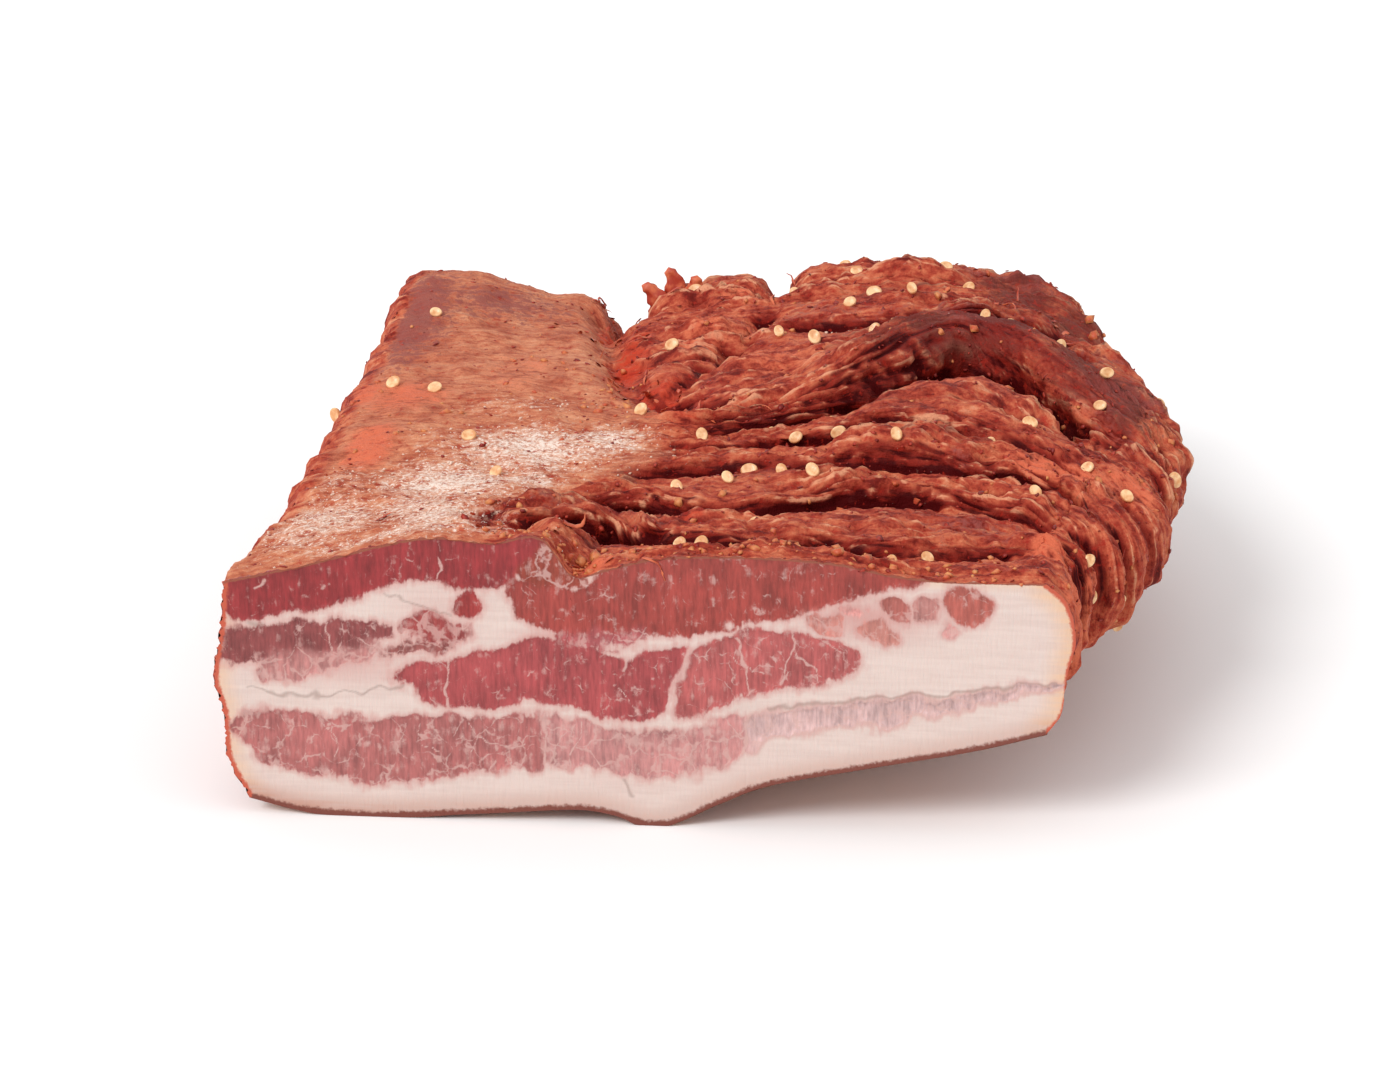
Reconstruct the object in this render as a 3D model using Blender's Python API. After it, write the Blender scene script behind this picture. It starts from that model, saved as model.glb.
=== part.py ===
"""A cut half of flat pancetta, cured with its rind on and rubbed with chilli.

The slab lies on its rind. The knife's face is the plane at the front, the uncut end of the belly is at the
back. The inner side, on top, keeps the furrows between the muscle strips where the ribs were taken out.
Metres, +Z up, +Y from the cut face into the slab, origin under the middle of the slab on the ground.
"""

import math
import random

import bmesh
import bpy
import numpy as np
from mathutils import Matrix, Vector, noise

MM = 0.001

# Driving sizes, in millimetres
SLAB_DEPTH = 290.0
THICKNESS = 64.0
BLEND_DEPTH = 75.0
LIFT_DEPTH = 130.0
FLAT_CUT = 0.6
FLAT_FOOT = 0.65
END_ROUNDING = 24.0
END_HEIGHT = 0.25
END_MIDDLE = 30.0
END_NARROWING = 0.12

# Knots along the depth of where the side walls stand: distance from the cut face, then x
LEFT_WALL = ((0, -105), (60, -100), (110, -100), (160, -99), (220, -99), (290, -98))
RIGHT_WALL = ((0, 105), (35, 116), (85, 126), (140, 130), (180, 127), (215, 117), (250, 106), (290, 96))

# The belly's thin edge curls up off the ground on the right: between which x it rises, and how high
CURL_UP = (46, 122)
CURL_UP_HEIGHT = 33.0

# How square the section is at its left wall and at its rounder right shoulder
LEFT_SQUARENESS = 9.0
RIGHT_SQUARENESS = 3.6

# The cut face's outline, x and z, one run of points for each of its four sides
CUT_TOP = (
    (-103, 60), (-83, 65), (-62, 71), (-50, 73), (-37, 72), (-26, 74), (-21, 69), (-17, 64), (-9, 66),
    (2, 69), (15, 70), (31, 70), (47, 69), (60, 66.5), (72, 65.5), (88, 65.5), (97, 65.5),
)
CUT_RIGHT = ((97, 65.5), (102, 61), (104.5, 52), (103, 43), (102, 33), (98, 27))
CUT_BOTTOM = (
    (98, 27), (80, 22), (56, 17), (31, 11.5), (18, 6), (8, 1), (0, 0), (-8, 2.5), (-18, 3.5), (-43, 1.5),
    (-68, 0), (-85, 1), (-98, 4),
)
CUT_LEFT = ((-98, 4), (-103, 14), (-104, 27), (-106, 35), (-104, 49), (-103, 60))

# Folds between the muscle strips, which run as arches in plan, and the mesh rows run with them. Each has the row
# that follows it, knots of x and y along the lip of its rear wall, knots of x and its depth, and its width.
FOLDS = (
    {
        "row": 32, "width": 12,
        "lip": (
            (-110, 32), (-45, 33), (-32, 40), (-22, 47), (-12, 50), (-4, 43), (4, 35), (12, 31), (22, 29), (32, 30),
            (44, 32), (54, 31), (66, 33), (80, 38), (90, 38), (100, 35), (112, 29), (125, 22), (150, 14),
        ),
        "depth": (
            (-45, 0), (-34, 5), (-24, 8), (-12, 10), (-2, 8), (8, 4), (16, 4), (24, 7), (34, 7.5), (46, 6), (56, 3.5),
            (66, 2), (76, 3.5), (86, 5), (96, 4), (108, 3), (150, 2),
        ),
    },
    {
        "row": 66, "width": 11,
        "lip": (
            (-110, 66), (-40, 66), (-24, 67), (-14, 71), (-6, 71), (4, 66), (13, 62), (22, 64), (30, 69), (38, 73),
            (46, 77), (54, 79), (64, 78), (72, 75), (80, 71), (90, 67), (98, 62), (108, 55), (116, 48), (125, 42),
            (150, 32),
        ),
        "depth": (
            (-30, 0), (-20, 4), (-6, 6), (6, 4), (14, 2.5), (24, 5), (38, 6.5), (54, 7), (66, 6), (76, 3), (88, 2.5),
            (98, 4), (108, 6.5), (118, 6), (130, 4), (150, 3),
        ),
    },
    {
        "row": 91, "width": 9,
        "lip": (
            (-110, 91), (-40, 89), (-20, 88), (0, 92), (14, 95), (26, 95), (38, 95), (50, 96), (62, 95), (76, 93),
            (85, 94), (92, 89), (100, 85), (106, 79), (112, 70), (118, 63), (125, 57), (150, 45),
        ),
        "depth": (
            (-18, 0), (-6, 2.5), (8, 4), (20, 2.5), (34, 3), (46, 4.5), (62, 5), (74, 4), (82, 4), (94, 4.5), (106, 5),
            (118, 4), (130, 3), (150, 2),
        ),
    },
    {
        "row": 116, "width": 10,
        "lip": (
            (-110, 117), (-40, 115), (-20, 112), (0, 111), (20, 114), (30, 116), (42, 118), (50, 121), (58, 121),
            (66, 121), (76, 119), (84, 116), (92, 112), (100, 108), (108, 101), (114, 94), (120, 86), (126, 79),
            (150, 62),
        ),
        "depth": (
            (-16, 0), (0, 2), (14, 3.5), (28, 5.5), (44, 6), (58, 5.5), (68, 4), (78, 2), (90, 2.5), (102, 3.5),
            (114, 4), (130, 3), (150, 2),
        ),
    },
    {
        "row": 158, "width": 18,
        "lip": (
            (-110, 156), (-40, 148), (-16, 136), (0, 131), (12, 132), (22, 136), (32, 141), (40, 147), (47, 157),
            (54, 168), (61, 179), (68, 187), (75, 191), (82, 188), (89, 178), (95, 166), (102, 155), (110, 146),
            (118, 137), (126, 126), (150, 105),
        ),
        "depth": (
            (-6, 0), (4, 3), (14, 5), (28, 5.5), (38, 7), (48, 10), (60, 13), (76, 14.5), (90, 13.5), (104, 12),
            (116, 9.5), (126, 7), (138, 4), (150, 2),
        ),
    },
    {
        "row": 214, "width": 10,
        "lip": (
            (-110, 214), (0, 214), (20, 215), (40, 214), (60, 214), (74, 217), (86, 225), (96, 226), (108, 206),
            (125, 186), (150, 165),
        ),
        "depth": (
            (6, 0), (20, 2.5), (36, 3.5), (52, 3), (66, 3), (76, 5), (86, 9), (96, 8), (106, 4), (118, 3), (150, 2),
        ),
    },
)
WANDER = 2.5
WANDER_LENGTH = 24.0
STEEP_SIDE = 0.36
LONG_SIDE = 0.9
FOOT_TO_LIP = 0.62

# The smooth roll behind the deepest fold: which fold that is, how high it is, and where it rises and ends in x
ROLL_FOLD = 4
ROLL_HEIGHT = 5.5
ROLL_LEFT = (22, 52)
ROLL_RIGHT = (96, 128)

# How much further across the folds are read for each millimetre down the right flank, so that they lean forward
# there, and how far under the top that starts
FLANK_LEAN = 0.5
FLANK_START = 14.0

# Grooves that leave the folds: knots of x and y, depth and half width. The first is the torn seam between the
# smooth flank plate and the furrowed side.
GROOVES = (
    {"path": ((-36, 262), (-31, 222), (-27, 196), (-22, 173), (-14, 157), (-5, 147), (4, 140)), "depth": 6, "half": 6},
    {"path": ((-10, 156), (-4, 165), (1, 175), (5, 188), (8, 204), (12, 226)), "depth": 4.5, "half": 5},
    {"path": ((-30, 300), (-29, 262), (-28, 246)), "depth": 13, "half": 7},
    {"path": ((14, 300), (14, 264), (13, 250)), "depth": 8, "half": 4.5},
    {"path": ((-44, 36), (-37, 27), (-30, 17), (-25, 6)), "depth": 4.5, "half": 5},
    {"path": ((97, 49), (101, 39), (106, 29), (109, 15), (110, 2)), "depth": 4.5, "half": 4},
    {"path": ((101, 104), (110, 97), (118, 89)), "depth": 3, "half": 4},
)

# Notches in the uncut end: x, how far in they reach, half width
END_NOTCHES = ((-32, 20, 8), (13, 11, 6), (-58, 7, 16), (62, -4, 24))

# Mesh density: columns on the top, right, bottom and left sides, and rows along the depth, with how far before
# each fold's lip there are rows too
COLUMNS = (42, 9, 12, 5)
ROWS = 38
END_ROWS = 6
CLOSEST_ROWS = 1.8
FOLD_ROWS = (0, 3, 7, 12)

# Chilli seeds, pressed into the rub: x and y of those on the top, and how many more there are all over
SEEDS = (
    (-82, 230), (-57, 110), (1, 257), (38, 255), (62, 255), (33, 272), (20, 253), (44, 233), (37, 222), (70, 240),
    (54, 222), (83, 208), (29, 188), (47, 177), (-11, 198), (19, 199), (96, 196), (37, 131), (30, 112), (41, 113),
    (22, 124), (3, 118), (19, 90), (28, 84), (36, 78), (14, 75), (2, 73), (5, 56), (24, 45), (-14, 138), (120, 145),
    (110, 170), (93, 79), (109, 102), (90, 120), (67, 25), (59, 15), (12, 15), (7, 21), (-85, 162),
)
MORE_SEEDS = 18
SEED_LENGTH = 4.0
SEED_THICKNESS = 1.7
SEED_GAP = 9.0
SEED_SEED = 11
SEED_SEGMENTS = 6
SEED_RINGS = 4

# Torn curls of meat beside the deepest notch: foot x and depth, length, lean in degrees. Their root is how far
# they start under the skin, and their span is the width of the slab's top there.
CURLS = ((-21, 268, 7, -70), (-17, 267, 7, -25), (-12, 264, 4, 12))
CURL_SPAN = 198.0
CURL_RADIUS = 4.2
CURL_TAPER = 0.66
CURL_FLATNESS = 0.6
CURL_ROOT = 5.0
CURL_STEPS = 6
CURL_SIDES = 6

CRUST_COLOUR = (0.30, 0.062, 0.040, 1.0)
CRUST_ROUGHNESS = 0.62


def smooth_step(low, high, value):
    """0 below low, 1 above high, and a smooth rise between."""
    t = np.clip((np.asarray(value, float) - low) / (high - low), 0.0, 1.0)
    return t * t * (3.0 - 2.0 * t)


def along(knots, value):
    """A smooth curve through the knots, read at value."""
    at = np.array([k[0] for k in knots], float)
    height = np.array([k[1] for k in knots], float)
    slope = np.gradient(height, at)
    value = np.clip(np.asarray(value, float), at[0], at[-1])
    i = np.clip(np.searchsorted(at, value, side="right") - 1, 0, len(at) - 2)
    span = at[i + 1] - at[i]
    t = (value - at[i]) / span
    return (
        (2 * t**3 - 3 * t**2 + 1) * height[i]
        + (t**3 - 2 * t**2 + t) * span * slope[i]
        + (3 * t**2 - 2 * t**3) * height[i + 1]
        + (t**3 - t**2) * span * slope[i + 1]
    )


def rounded_run(points, share):
    """A point at each share of the length of a smooth line through the points."""
    corner = np.array(points, float)
    knots = np.arange(len(corner))
    fine = np.linspace(0, len(corner) - 1, 40 * len(corner))
    line = np.stack([along(np.stack([knots, corner[:, k]], 1), fine) for k in (0, 1)], 1)
    length = np.concatenate([[0.0], np.cumsum(np.linalg.norm(np.diff(line, axis=0), axis=1))])
    wanted = share * length[-1]
    return np.interp(wanted, length, line[:, 0]), np.interp(wanted, length, line[:, 1])


def crown(x, y):
    """How far the inner side stands over or under the mean thickness."""
    belly = 9.0 * np.exp(-(((x - 58) / 46) ** 2)) * smooth_step(40, 130, y) * (1 - 0.8 * smooth_step(205, 285, y))
    dish = 5.0 * np.exp(-(((x + 48) / 32) ** 2 + ((y - 255) / 60) ** 2))
    rear = 5.0 * smooth_step(200, 280, y) * (1 - np.exp(-(((x + 25) / 42) ** 2)))
    return belly - dish + rear


def rear_section(side, share, y):
    """The section away from the cut: a box with rounded corners, wider and rounder to the right."""
    q = 2.0 * share - 1.0
    corner = {0: (q, 1.0), 1: (1.0, -q), 2: (-q, -1.0), 3: (-1.0, q)}[side]
    across, up = np.broadcast_arrays(*[np.asarray(c, float) for c in corner])
    squareness = LEFT_SQUARENESS + (RIGHT_SQUARENESS - LEFT_SQUARENESS) * smooth_step(-0.2, 0.9, across)
    norm = (np.abs(across) ** squareness + np.abs(up) ** squareness) ** (1.0 / squareness)
    across, up = across / norm, up / norm
    left, right = along(LEFT_WALL, y), along(RIGHT_WALL, y)
    x = left + (right - left) * (across + 1) / 2
    top = THICKNESS + crown(x, y)
    z = np.maximum(top * (up + 1) / 2 - FLAT_CUT * smooth_step(0.4, -0.6, up), 0.0)
    return x, z + CURL_UP_HEIGHT * smooth_step(*CURL_UP, x) * (1 - z / top)


def cut_section(side, share):
    return rounded_run((CUT_TOP, CUT_RIGHT, CUT_BOTTOM, CUT_LEFT)[side], share)


def flank_reach(x, z):
    """How far across the folds a point is read: its x, and more the further it is down the flank."""
    return x + FLANK_LEAN * np.maximum(THICKNESS - FLANK_START - z, 0)


def folded(row, x):
    """The distance from the cut face of a row at x. The rows keep their order, and run along the folds' lips."""
    rows = np.array([0.0] + [f["row"] for f in FOLDS] + [SLAB_DEPTH])
    places = np.stack([0 * x] + [along(f["lip"], x) for f in FOLDS] + [0 * x + SLAB_DEPTH])
    rate = np.diff(places, axis=0) / np.diff(rows).reshape((-1,) + (1,) * x.ndim)
    slope = np.concatenate([rate[:1], 2 * rate[1:] * rate[:-1] / (rate[1:] + rate[:-1]), rate[-1:]])
    i = np.clip(np.searchsorted(rows, row, side="right") - 1, 0, len(rows) - 2)
    span = rows[i + 1] - rows[i]
    t = (row - rows[i]) / span
    near, far, near_slope, far_slope = (
        np.take_along_axis(values, index[None], 0)[0]
        for values, index in ((places, i), (places, i + 1), (slope, i), (slope, i + 1))
    )
    return (
        (2 * t**3 - 3 * t**2 + 1) * near
        + (t**3 - 2 * t**2 + t) * span * near_slope
        + (3 * t**2 - 2 * t**3) * far
        + (t**3 - t**2) * span * far_slope
    )


def line_distance(x, y, path):
    """How far each point lies from an open line."""
    nearest = np.full(np.broadcast(x, y).shape, np.inf)
    for (start_x, start_y), (end_x, end_y) in zip(path, path[1:]):
        run_x, run_y = end_x - start_x, end_y - start_y
        t = np.clip(((x - start_x) * run_x + (y - start_y) * run_y) / (run_x**2 + run_y**2), 0, 1)
        nearest = np.minimum(nearest, np.hypot(x - start_x - t * run_x, y - start_y - t * run_y))
    return nearest


def lumps(x, y, z, size, seed):
    """Smooth uneven lumps of about the given size, from -1 to 1."""
    places = np.stack(np.broadcast_arrays(x, y, z), -1).reshape(-1, 3) / size + seed
    values = [noise.noise(Vector(p)) for p in places]
    return np.array(values).reshape(np.broadcast(x, y, z).shape)


def fold_depth(x, y):
    """Depth of the folds and grooves: a fold has a steep wall behind its foot and a long slope before it."""
    total = np.zeros(np.broadcast(x, y).shape)
    for f in FOLDS:
        wander = WANDER * lumps(x, 0.0, 0.0, WANDER_LENGTH, f["row"])
        t = (y - along(f["lip"], x) - wander) / f["width"] + FOOT_TO_LIP
        profile = np.where(t > 0, np.exp(-((t / STEEP_SIDE) ** 2)), np.exp(-((t / LONG_SIDE) ** 2)))
        total = np.maximum(total, along(f["depth"], x) * profile)
    for g in GROOVES:
        total = np.maximum(total, g["depth"] * np.exp(-((line_distance(x, y, g["path"]) / g["half"]) ** 2)))
    return total


def roll_height(x, y):
    """How far the smooth roll behind the deepest fold stands over the rest."""
    behind = y - along(FOLDS[ROLL_FOLD]["lip"], x)
    bulge = smooth_step(-4, 7, behind) * (1 - smooth_step(12, 40, behind))
    return ROLL_HEIGHT * bulge * smooth_step(*ROLL_LEFT, x) * (1 - smooth_step(*ROLL_RIGHT, x))


def end_line(x):
    """Where the uncut end stands, with its notches."""
    line = np.full(np.shape(x), SLAB_DEPTH)
    for middle, reach, half in END_NOTCHES:
        line = line - reach * np.exp(-(((x - middle) / half) ** 2))
    return line


def cornering(side, share):
    """1 at the two top corners, falling off quickly along the sides."""
    return {0: np.abs(2 * share - 1), 1: 1 - share, 2: 0 * share, 3: share}[side] ** 6


def way_out(side, share):
    """Which way the skin is pushed, in x and z: straight out of each side, and aslant at the two top corners."""
    turn = math.pi / 4 * cornering(side, share)
    turned = np.sin(turn) if side == 0 else np.cos(turn)
    sign = {0: np.sign(2 * share - 1), 1: 1, 2: 0, 3: -1}[side]
    return sign * turned, np.cos(turn) if side == 0 else np.sin(turn)


def surface(side, share, depth):
    """A point of the slab's skin: which side of the section, share along it, and share of the depth.

    It returns x, y and z in millimetres, with the origin still on the cut face.
    """
    share, depth = np.broadcast_arrays(np.asarray(share, float), np.asarray(depth, float))
    row = depth * SLAB_DEPTH
    y = folded(row, flank_reach(*rear_section(side, share, row)))
    rear_x, rear_z = rear_section(side, share, y)
    cut_x, cut_z = cut_section(side, share)
    wide = smooth_step(0, BLEND_DEPTH, y)
    high = smooth_step(0, LIFT_DEPTH, y) if side in (1, 2) else wide
    x = cut_x + (rear_x - cut_x) * wide
    z = cut_z + (rear_z - cut_z) * high

    rise = smooth_step(14, 46, z)
    on_top = {0: 1.0, 1: rise, 2: 0.0, 3: 0.0}[side] * (1 - 0.45 * cornering(side, share))
    fade_in = 0.25 + 0.75 * smooth_step(0, 26, y)
    sunk = fold_depth(flank_reach(x, z), y) * on_top * fade_in
    above_rind = {0: 1.0, 1: smooth_step(1, 0.65, share), 2: 0.0, 3: smooth_step(0, 0.35, share)}[side]
    swell = roll_height(x, y) + 1.2 * lumps(x, y, z, 34, 3.7) + 1.2 * lumps(x, y, z, 15, 9.1)
    push = swell * smooth_step(0, 20, y) * above_rind - sunk
    out_x, out_z = way_out(side, share)
    x = x + push * out_x
    z = z + push * out_z

    from_end = np.clip((row - (SLAB_DEPTH - END_ROUNDING)) / END_ROUNDING, 0, 1)
    closing = END_HEIGHT + (1 - END_HEIGHT) * (1 - from_end**2.2) ** (1 / 2.2)
    x = x * (1 - END_NARROWING * (1 - closing))
    z = END_MIDDLE + (z - END_MIDDLE) * closing
    y = y + (end_line(x) - SLAB_DEPTH) * smooth_step(0.7, 1.0, depth) * smooth_step(4, END_MIDDLE, z)
    return x, y, np.where(z < FLAT_FOOT, 0.0, z)


def depth_rows():
    """Shares of the depth: even rows, a few up the rear wall of each fold, and closer ones at the end."""
    body_end = SLAB_DEPTH - END_ROUNDING
    rows = list(np.linspace(0, body_end, ROWS)) + [f["row"] - before for f in FOLDS for before in FOLD_ROWS]
    rows.sort()
    kept = [rows[0]]
    for row in rows[1:]:
        if row - kept[-1] > CLOSEST_ROWS:
            kept.append(row)
    turn = np.linspace(0, math.pi / 2, END_ROWS + 1)[1:]
    return np.concatenate([kept, body_end + END_ROUNDING * np.sin(turn)]) / SLAB_DEPTH


def slab_mesh():
    """The closed slab: rings of points along the depth, and a face over each end."""
    rows = depth_rows()[:, None]
    runs = [surface(side, np.arange(n) / n, rows) for side, n in enumerate(COLUMNS)]
    grid = np.concatenate([np.stack(run, -1) for run in runs], axis=1)
    form = bmesh.new()
    rings = [[form.verts.new(Vector(p) * MM) for p in ring] for ring in grid]
    for near, far in zip(rings, rings[1:]):
        for i in range(len(near)):
            j = (i + 1) % len(near)
            form.faces.new((near[i], near[j], far[j], far[i]))
    form.faces.new(list(reversed(rings[0])))
    form.faces.new(rings[-1])
    bmesh.ops.recalc_face_normals(form, faces=form.faces)
    bmesh.ops.triangulate(form, faces=form.faces)
    return form


def skin_frame(side, share, depth):
    """A point of the skin and the way out of it, for what is pressed into the rub."""
    step = 0.004
    middle, wider, deeper = (
        np.array([float(c) for c in surface(side, *at)])
        for at in ((share, depth), (share + step, depth), (share, depth + step))
    )
    out = np.cross(wider - middle, deeper - middle)
    return middle, -out / np.linalg.norm(out)


def nearest_share(x, y):
    """The shares of the top's width and depth that come closest to a place in plan."""
    widths, depths = np.linspace(0.02, 0.98, 121), np.linspace(0.02, 0.96, 151)
    found_x, found_y, _ = surface(0, widths[None, :], depths[:, None])
    deep, wide = np.unravel_index(np.argmin(np.hypot(found_x - x, found_y - y)), found_x.shape)
    return widths[wide], depths[deep]


def seed_places():
    """The seeds on the top, and more of them all over, with fewer on the smooth flank plate."""
    draw = random.Random(SEED_SEED)
    found = []
    for x, y in SEEDS:
        found.append((*skin_frame(0, *nearest_share(x, y)), draw.uniform(0, math.pi)))
    while len(found) < len(SEEDS) + MORE_SEEDS:
        side = draw.choices((0, 1, 3), (5, 4, 1))[0]
        share, depth = draw.uniform(0.03, 0.93), draw.uniform(0.03, 0.93)
        keep, turn = draw.random(), draw.uniform(0, math.pi)
        point, out = skin_frame(side, share, depth)
        on_plate = side == 0 and point[0] < -25
        if keep > (0.3 if on_plate else 1.0) or (side != 0 and point[2] < 22):
            continue
        if all(np.linalg.norm(point - other[0]) > SEED_GAP for other in found):
            found.append((point, out, turn))
    return found


def seed_object(index, point, out, turn, collection):
    form = bmesh.new()
    bmesh.ops.create_uvsphere(form, u_segments=SEED_SEGMENTS, v_segments=SEED_RINGS, radius=0.5)
    bmesh.ops.scale(form, verts=form.verts, vec=Vector((SEED_LENGTH, SEED_LENGTH * 0.84, SEED_THICKNESS)) * MM)
    stand = Vector(out).to_track_quat("Z", "Y").to_matrix().to_4x4()
    form.transform(Matrix.Translation(Vector(point) * MM) @ stand @ Matrix.Rotation(turn, 4, "Z"))
    return mesh_object(f"seed_{index:02d}", form, collection)


def curl_object(index, foot_x, foot_y, length, lean, collection):
    """A torn strip of meat that stands up, bends over and thins to its tip."""
    middle, _ = skin_frame(0, (foot_x - LEFT_WALL[-1][1]) / CURL_SPAN, foot_y / SLAB_DEPTH)
    middle = middle - np.array([0, 0, CURL_ROOT])
    form = bmesh.new()
    rings = []
    for step in range(CURL_STEPS):
        t = step / (CURL_STEPS - 1)
        bend = math.radians(lean) * t
        radius = CURL_RADIUS * (1 - CURL_TAPER * t)
        ring = []
        for k in range(CURL_SIDES):
            angle = 2 * math.pi * k / CURL_SIDES
            across, deep = radius * math.cos(angle), CURL_FLATNESS * radius * math.sin(angle)
            corner = middle + (across * math.cos(bend), deep, -across * math.sin(bend))
            ring.append(form.verts.new(Vector(corner) * MM))
        rings.append(ring)
        stride = (length + CURL_ROOT) / (CURL_STEPS - 1)
        middle = middle + np.array([math.sin(bend), 0, math.cos(bend)]) * stride
    for near, far in zip(rings, rings[1:]):
        for i in range(CURL_SIDES):
            j = (i + 1) % CURL_SIDES
            form.faces.new((near[i], near[j], far[j], far[i]))
    form.faces.new(list(reversed(rings[0])))
    form.faces.new(rings[-1])
    bmesh.ops.recalc_face_normals(form, faces=form.faces)
    bmesh.ops.triangulate(form, faces=form.faces)
    return mesh_object(f"curl_{index:02d}", form, collection)


def mesh_object(name, form, collection):
    mesh = bpy.data.meshes.new(name)
    form.to_mesh(mesh)
    form.free()
    made = bpy.data.objects.new(name, mesh)
    collection.objects.link(made)
    return made


def keep_largest_body(mesh):
    """Drops the loose scraps and sealed shells that a union can leave."""
    form = bmesh.new()
    form.from_mesh(mesh)
    left, islands = set(form.verts), []
    while left:
        island, front = set(), [left.pop()]
        while front:
            vert = front.pop()
            island.add(vert)
            for edge in vert.link_edges:
                other = edge.other_vert(vert)
                if other in left:
                    left.discard(other)
                    front.append(other)
        islands.append(island)
    islands.sort(key=len)
    for island in islands[:-1]:
        bmesh.ops.delete(form, geom=list(island), context="VERTS")
    bmesh.ops.triangulate(form, faces=form.faces)
    form.to_mesh(mesh)
    form.free()


def crust_material():
    material = bpy.data.materials.new("chilli_crust")
    material.use_nodes = True
    shader = material.node_tree.nodes["Principled BSDF"]
    shader.inputs["Base Color"].default_value = CRUST_COLOUR
    shader.inputs["Roughness"].default_value = CRUST_ROUGHNESS
    shader.inputs["Metallic"].default_value = 0.0
    return material


def clear_scene():
    for old in list(bpy.data.objects):
        bpy.data.objects.remove(old)


def stand_on_origin(mesh):
    """Puts the middle of the plan over the origin."""
    corners = [[f(v.co[k] for v in mesh.vertices) for f in (min, max)] for k in (0, 1)]
    middle_x, middle_y = [sum(pair) / 2 for pair in corners]
    mesh.transform(Matrix.Translation((-middle_x, -middle_y, 0)))


def main():
    clear_scene()
    scene = bpy.context.scene
    pancetta = mesh_object("pancetta", slab_mesh(), scene.collection)
    pancetta.data.materials.append(crust_material())

    fused = bpy.data.collections.new("fused")
    scene.collection.children.link(fused)
    for index, (point, out, turn) in enumerate(seed_places()):
        seed_object(index, point, out, turn, fused)
    for index, curl in enumerate(CURLS):
        curl_object(index, *curl, fused)

    union = pancetta.modifiers.new("press_in", "BOOLEAN")
    union.operation = "UNION"
    union.solver = "EXACT"
    union.operand_type = "COLLECTION"
    union.collection = fused
    graph = bpy.context.evaluated_depsgraph_get()
    whole = bpy.data.meshes.new_from_object(pancetta.evaluated_get(graph))
    pancetta.modifiers.remove(union)
    pancetta.data = whole
    pancetta.data.name = "pancetta"
    for piece in list(fused.objects):
        bpy.data.objects.remove(piece)
    bpy.data.collections.remove(fused)
    keep_largest_body(pancetta.data)
    stand_on_origin(pancetta.data)
    pancetta.data.shade_smooth()
    pancetta.data.set_sharp_from_angle(angle=math.radians(40))


main()
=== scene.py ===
import math
import random

import bpy
import numpy as np
from bpy.props import FloatProperty, FloatVectorProperty, IntProperty, PointerProperty
from bpy.types import Operator, Panel, PropertyGroup
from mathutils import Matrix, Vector, noise
from mathutils.bvhtree import BVHTree


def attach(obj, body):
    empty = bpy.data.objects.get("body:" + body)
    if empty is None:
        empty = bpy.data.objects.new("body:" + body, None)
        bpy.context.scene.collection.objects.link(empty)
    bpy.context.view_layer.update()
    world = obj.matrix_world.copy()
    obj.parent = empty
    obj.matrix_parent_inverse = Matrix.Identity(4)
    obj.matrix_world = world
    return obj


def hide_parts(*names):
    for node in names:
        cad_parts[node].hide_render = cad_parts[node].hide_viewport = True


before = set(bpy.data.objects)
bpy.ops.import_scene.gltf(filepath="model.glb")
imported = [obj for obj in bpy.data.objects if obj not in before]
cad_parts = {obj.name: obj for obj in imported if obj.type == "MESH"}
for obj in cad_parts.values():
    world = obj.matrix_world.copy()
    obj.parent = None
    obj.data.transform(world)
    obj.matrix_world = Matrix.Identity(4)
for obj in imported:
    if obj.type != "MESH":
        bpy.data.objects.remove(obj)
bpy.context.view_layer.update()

bl_info = {
    "name": "Cut Pancetta",
    "version": (1, 0, 0),
    "blender": (4, 5, 0),
    "location": "View3D > Sidebar > Pancetta",
    "description": "Half a flat pancetta: cut face, chilli crust, rind, seeds, flakes and torn shreds",
    "category": "Object",
}

MM = 0.001

# The slab is drawn in millimetres from its cut face, and the row's origin lies here in that drawing
ORIGIN_X = 12.314
ORIGIN_Y = 146.999

# Driving sizes of the slab, the same as the solid's
SLAB_DEPTH = 290.0
THICKNESS = 64.0
BLEND_DEPTH = 75.0
LIFT_DEPTH = 130.0
FLAT_CUT = 0.6
FLAT_FOOT = 0.65
END_ROUNDING = 24.0
END_HEIGHT = 0.25
END_MIDDLE = 30.0
END_NARROWING = 0.12
LEFT_WALL = ((0, -105), (60, -100), (110, -100), (160, -99), (220, -99), (290, -98))
RIGHT_WALL = ((0, 105), (35, 116), (85, 126), (140, 130), (180, 127), (215, 117), (250, 106), (290, 96))
CURL_UP = (46, 122)
CURL_UP_HEIGHT = 33.0
LEFT_SQUARENESS = 9.0
RIGHT_SQUARENESS = 3.6

# The cut face's outline, x and z, one run of points for each of its four sides
CUT_TOP = (
    (-103, 60), (-83, 65), (-62, 71), (-50, 73), (-37, 72), (-26, 74), (-21, 69), (-17, 64), (-9, 66),
    (2, 69), (15, 70), (31, 70), (47, 69), (60, 66.5), (72, 65.5), (88, 65.5), (97, 65.5),
)
CUT_RIGHT = ((97, 65.5), (102, 61), (104.5, 52), (103, 43), (102, 33), (98, 27))
CUT_BOTTOM = (
    (98, 27), (80, 22), (56, 17), (31, 11.5), (18, 6), (8, 1), (0, 0), (-8, 2.5), (-18, 3.5), (-43, 1.5),
    (-68, 0), (-85, 1), (-98, 4),
)
CUT_LEFT = ((-98, 4), (-103, 14), (-104, 27), (-106, 35), (-104, 49), (-103, 60))

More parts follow.
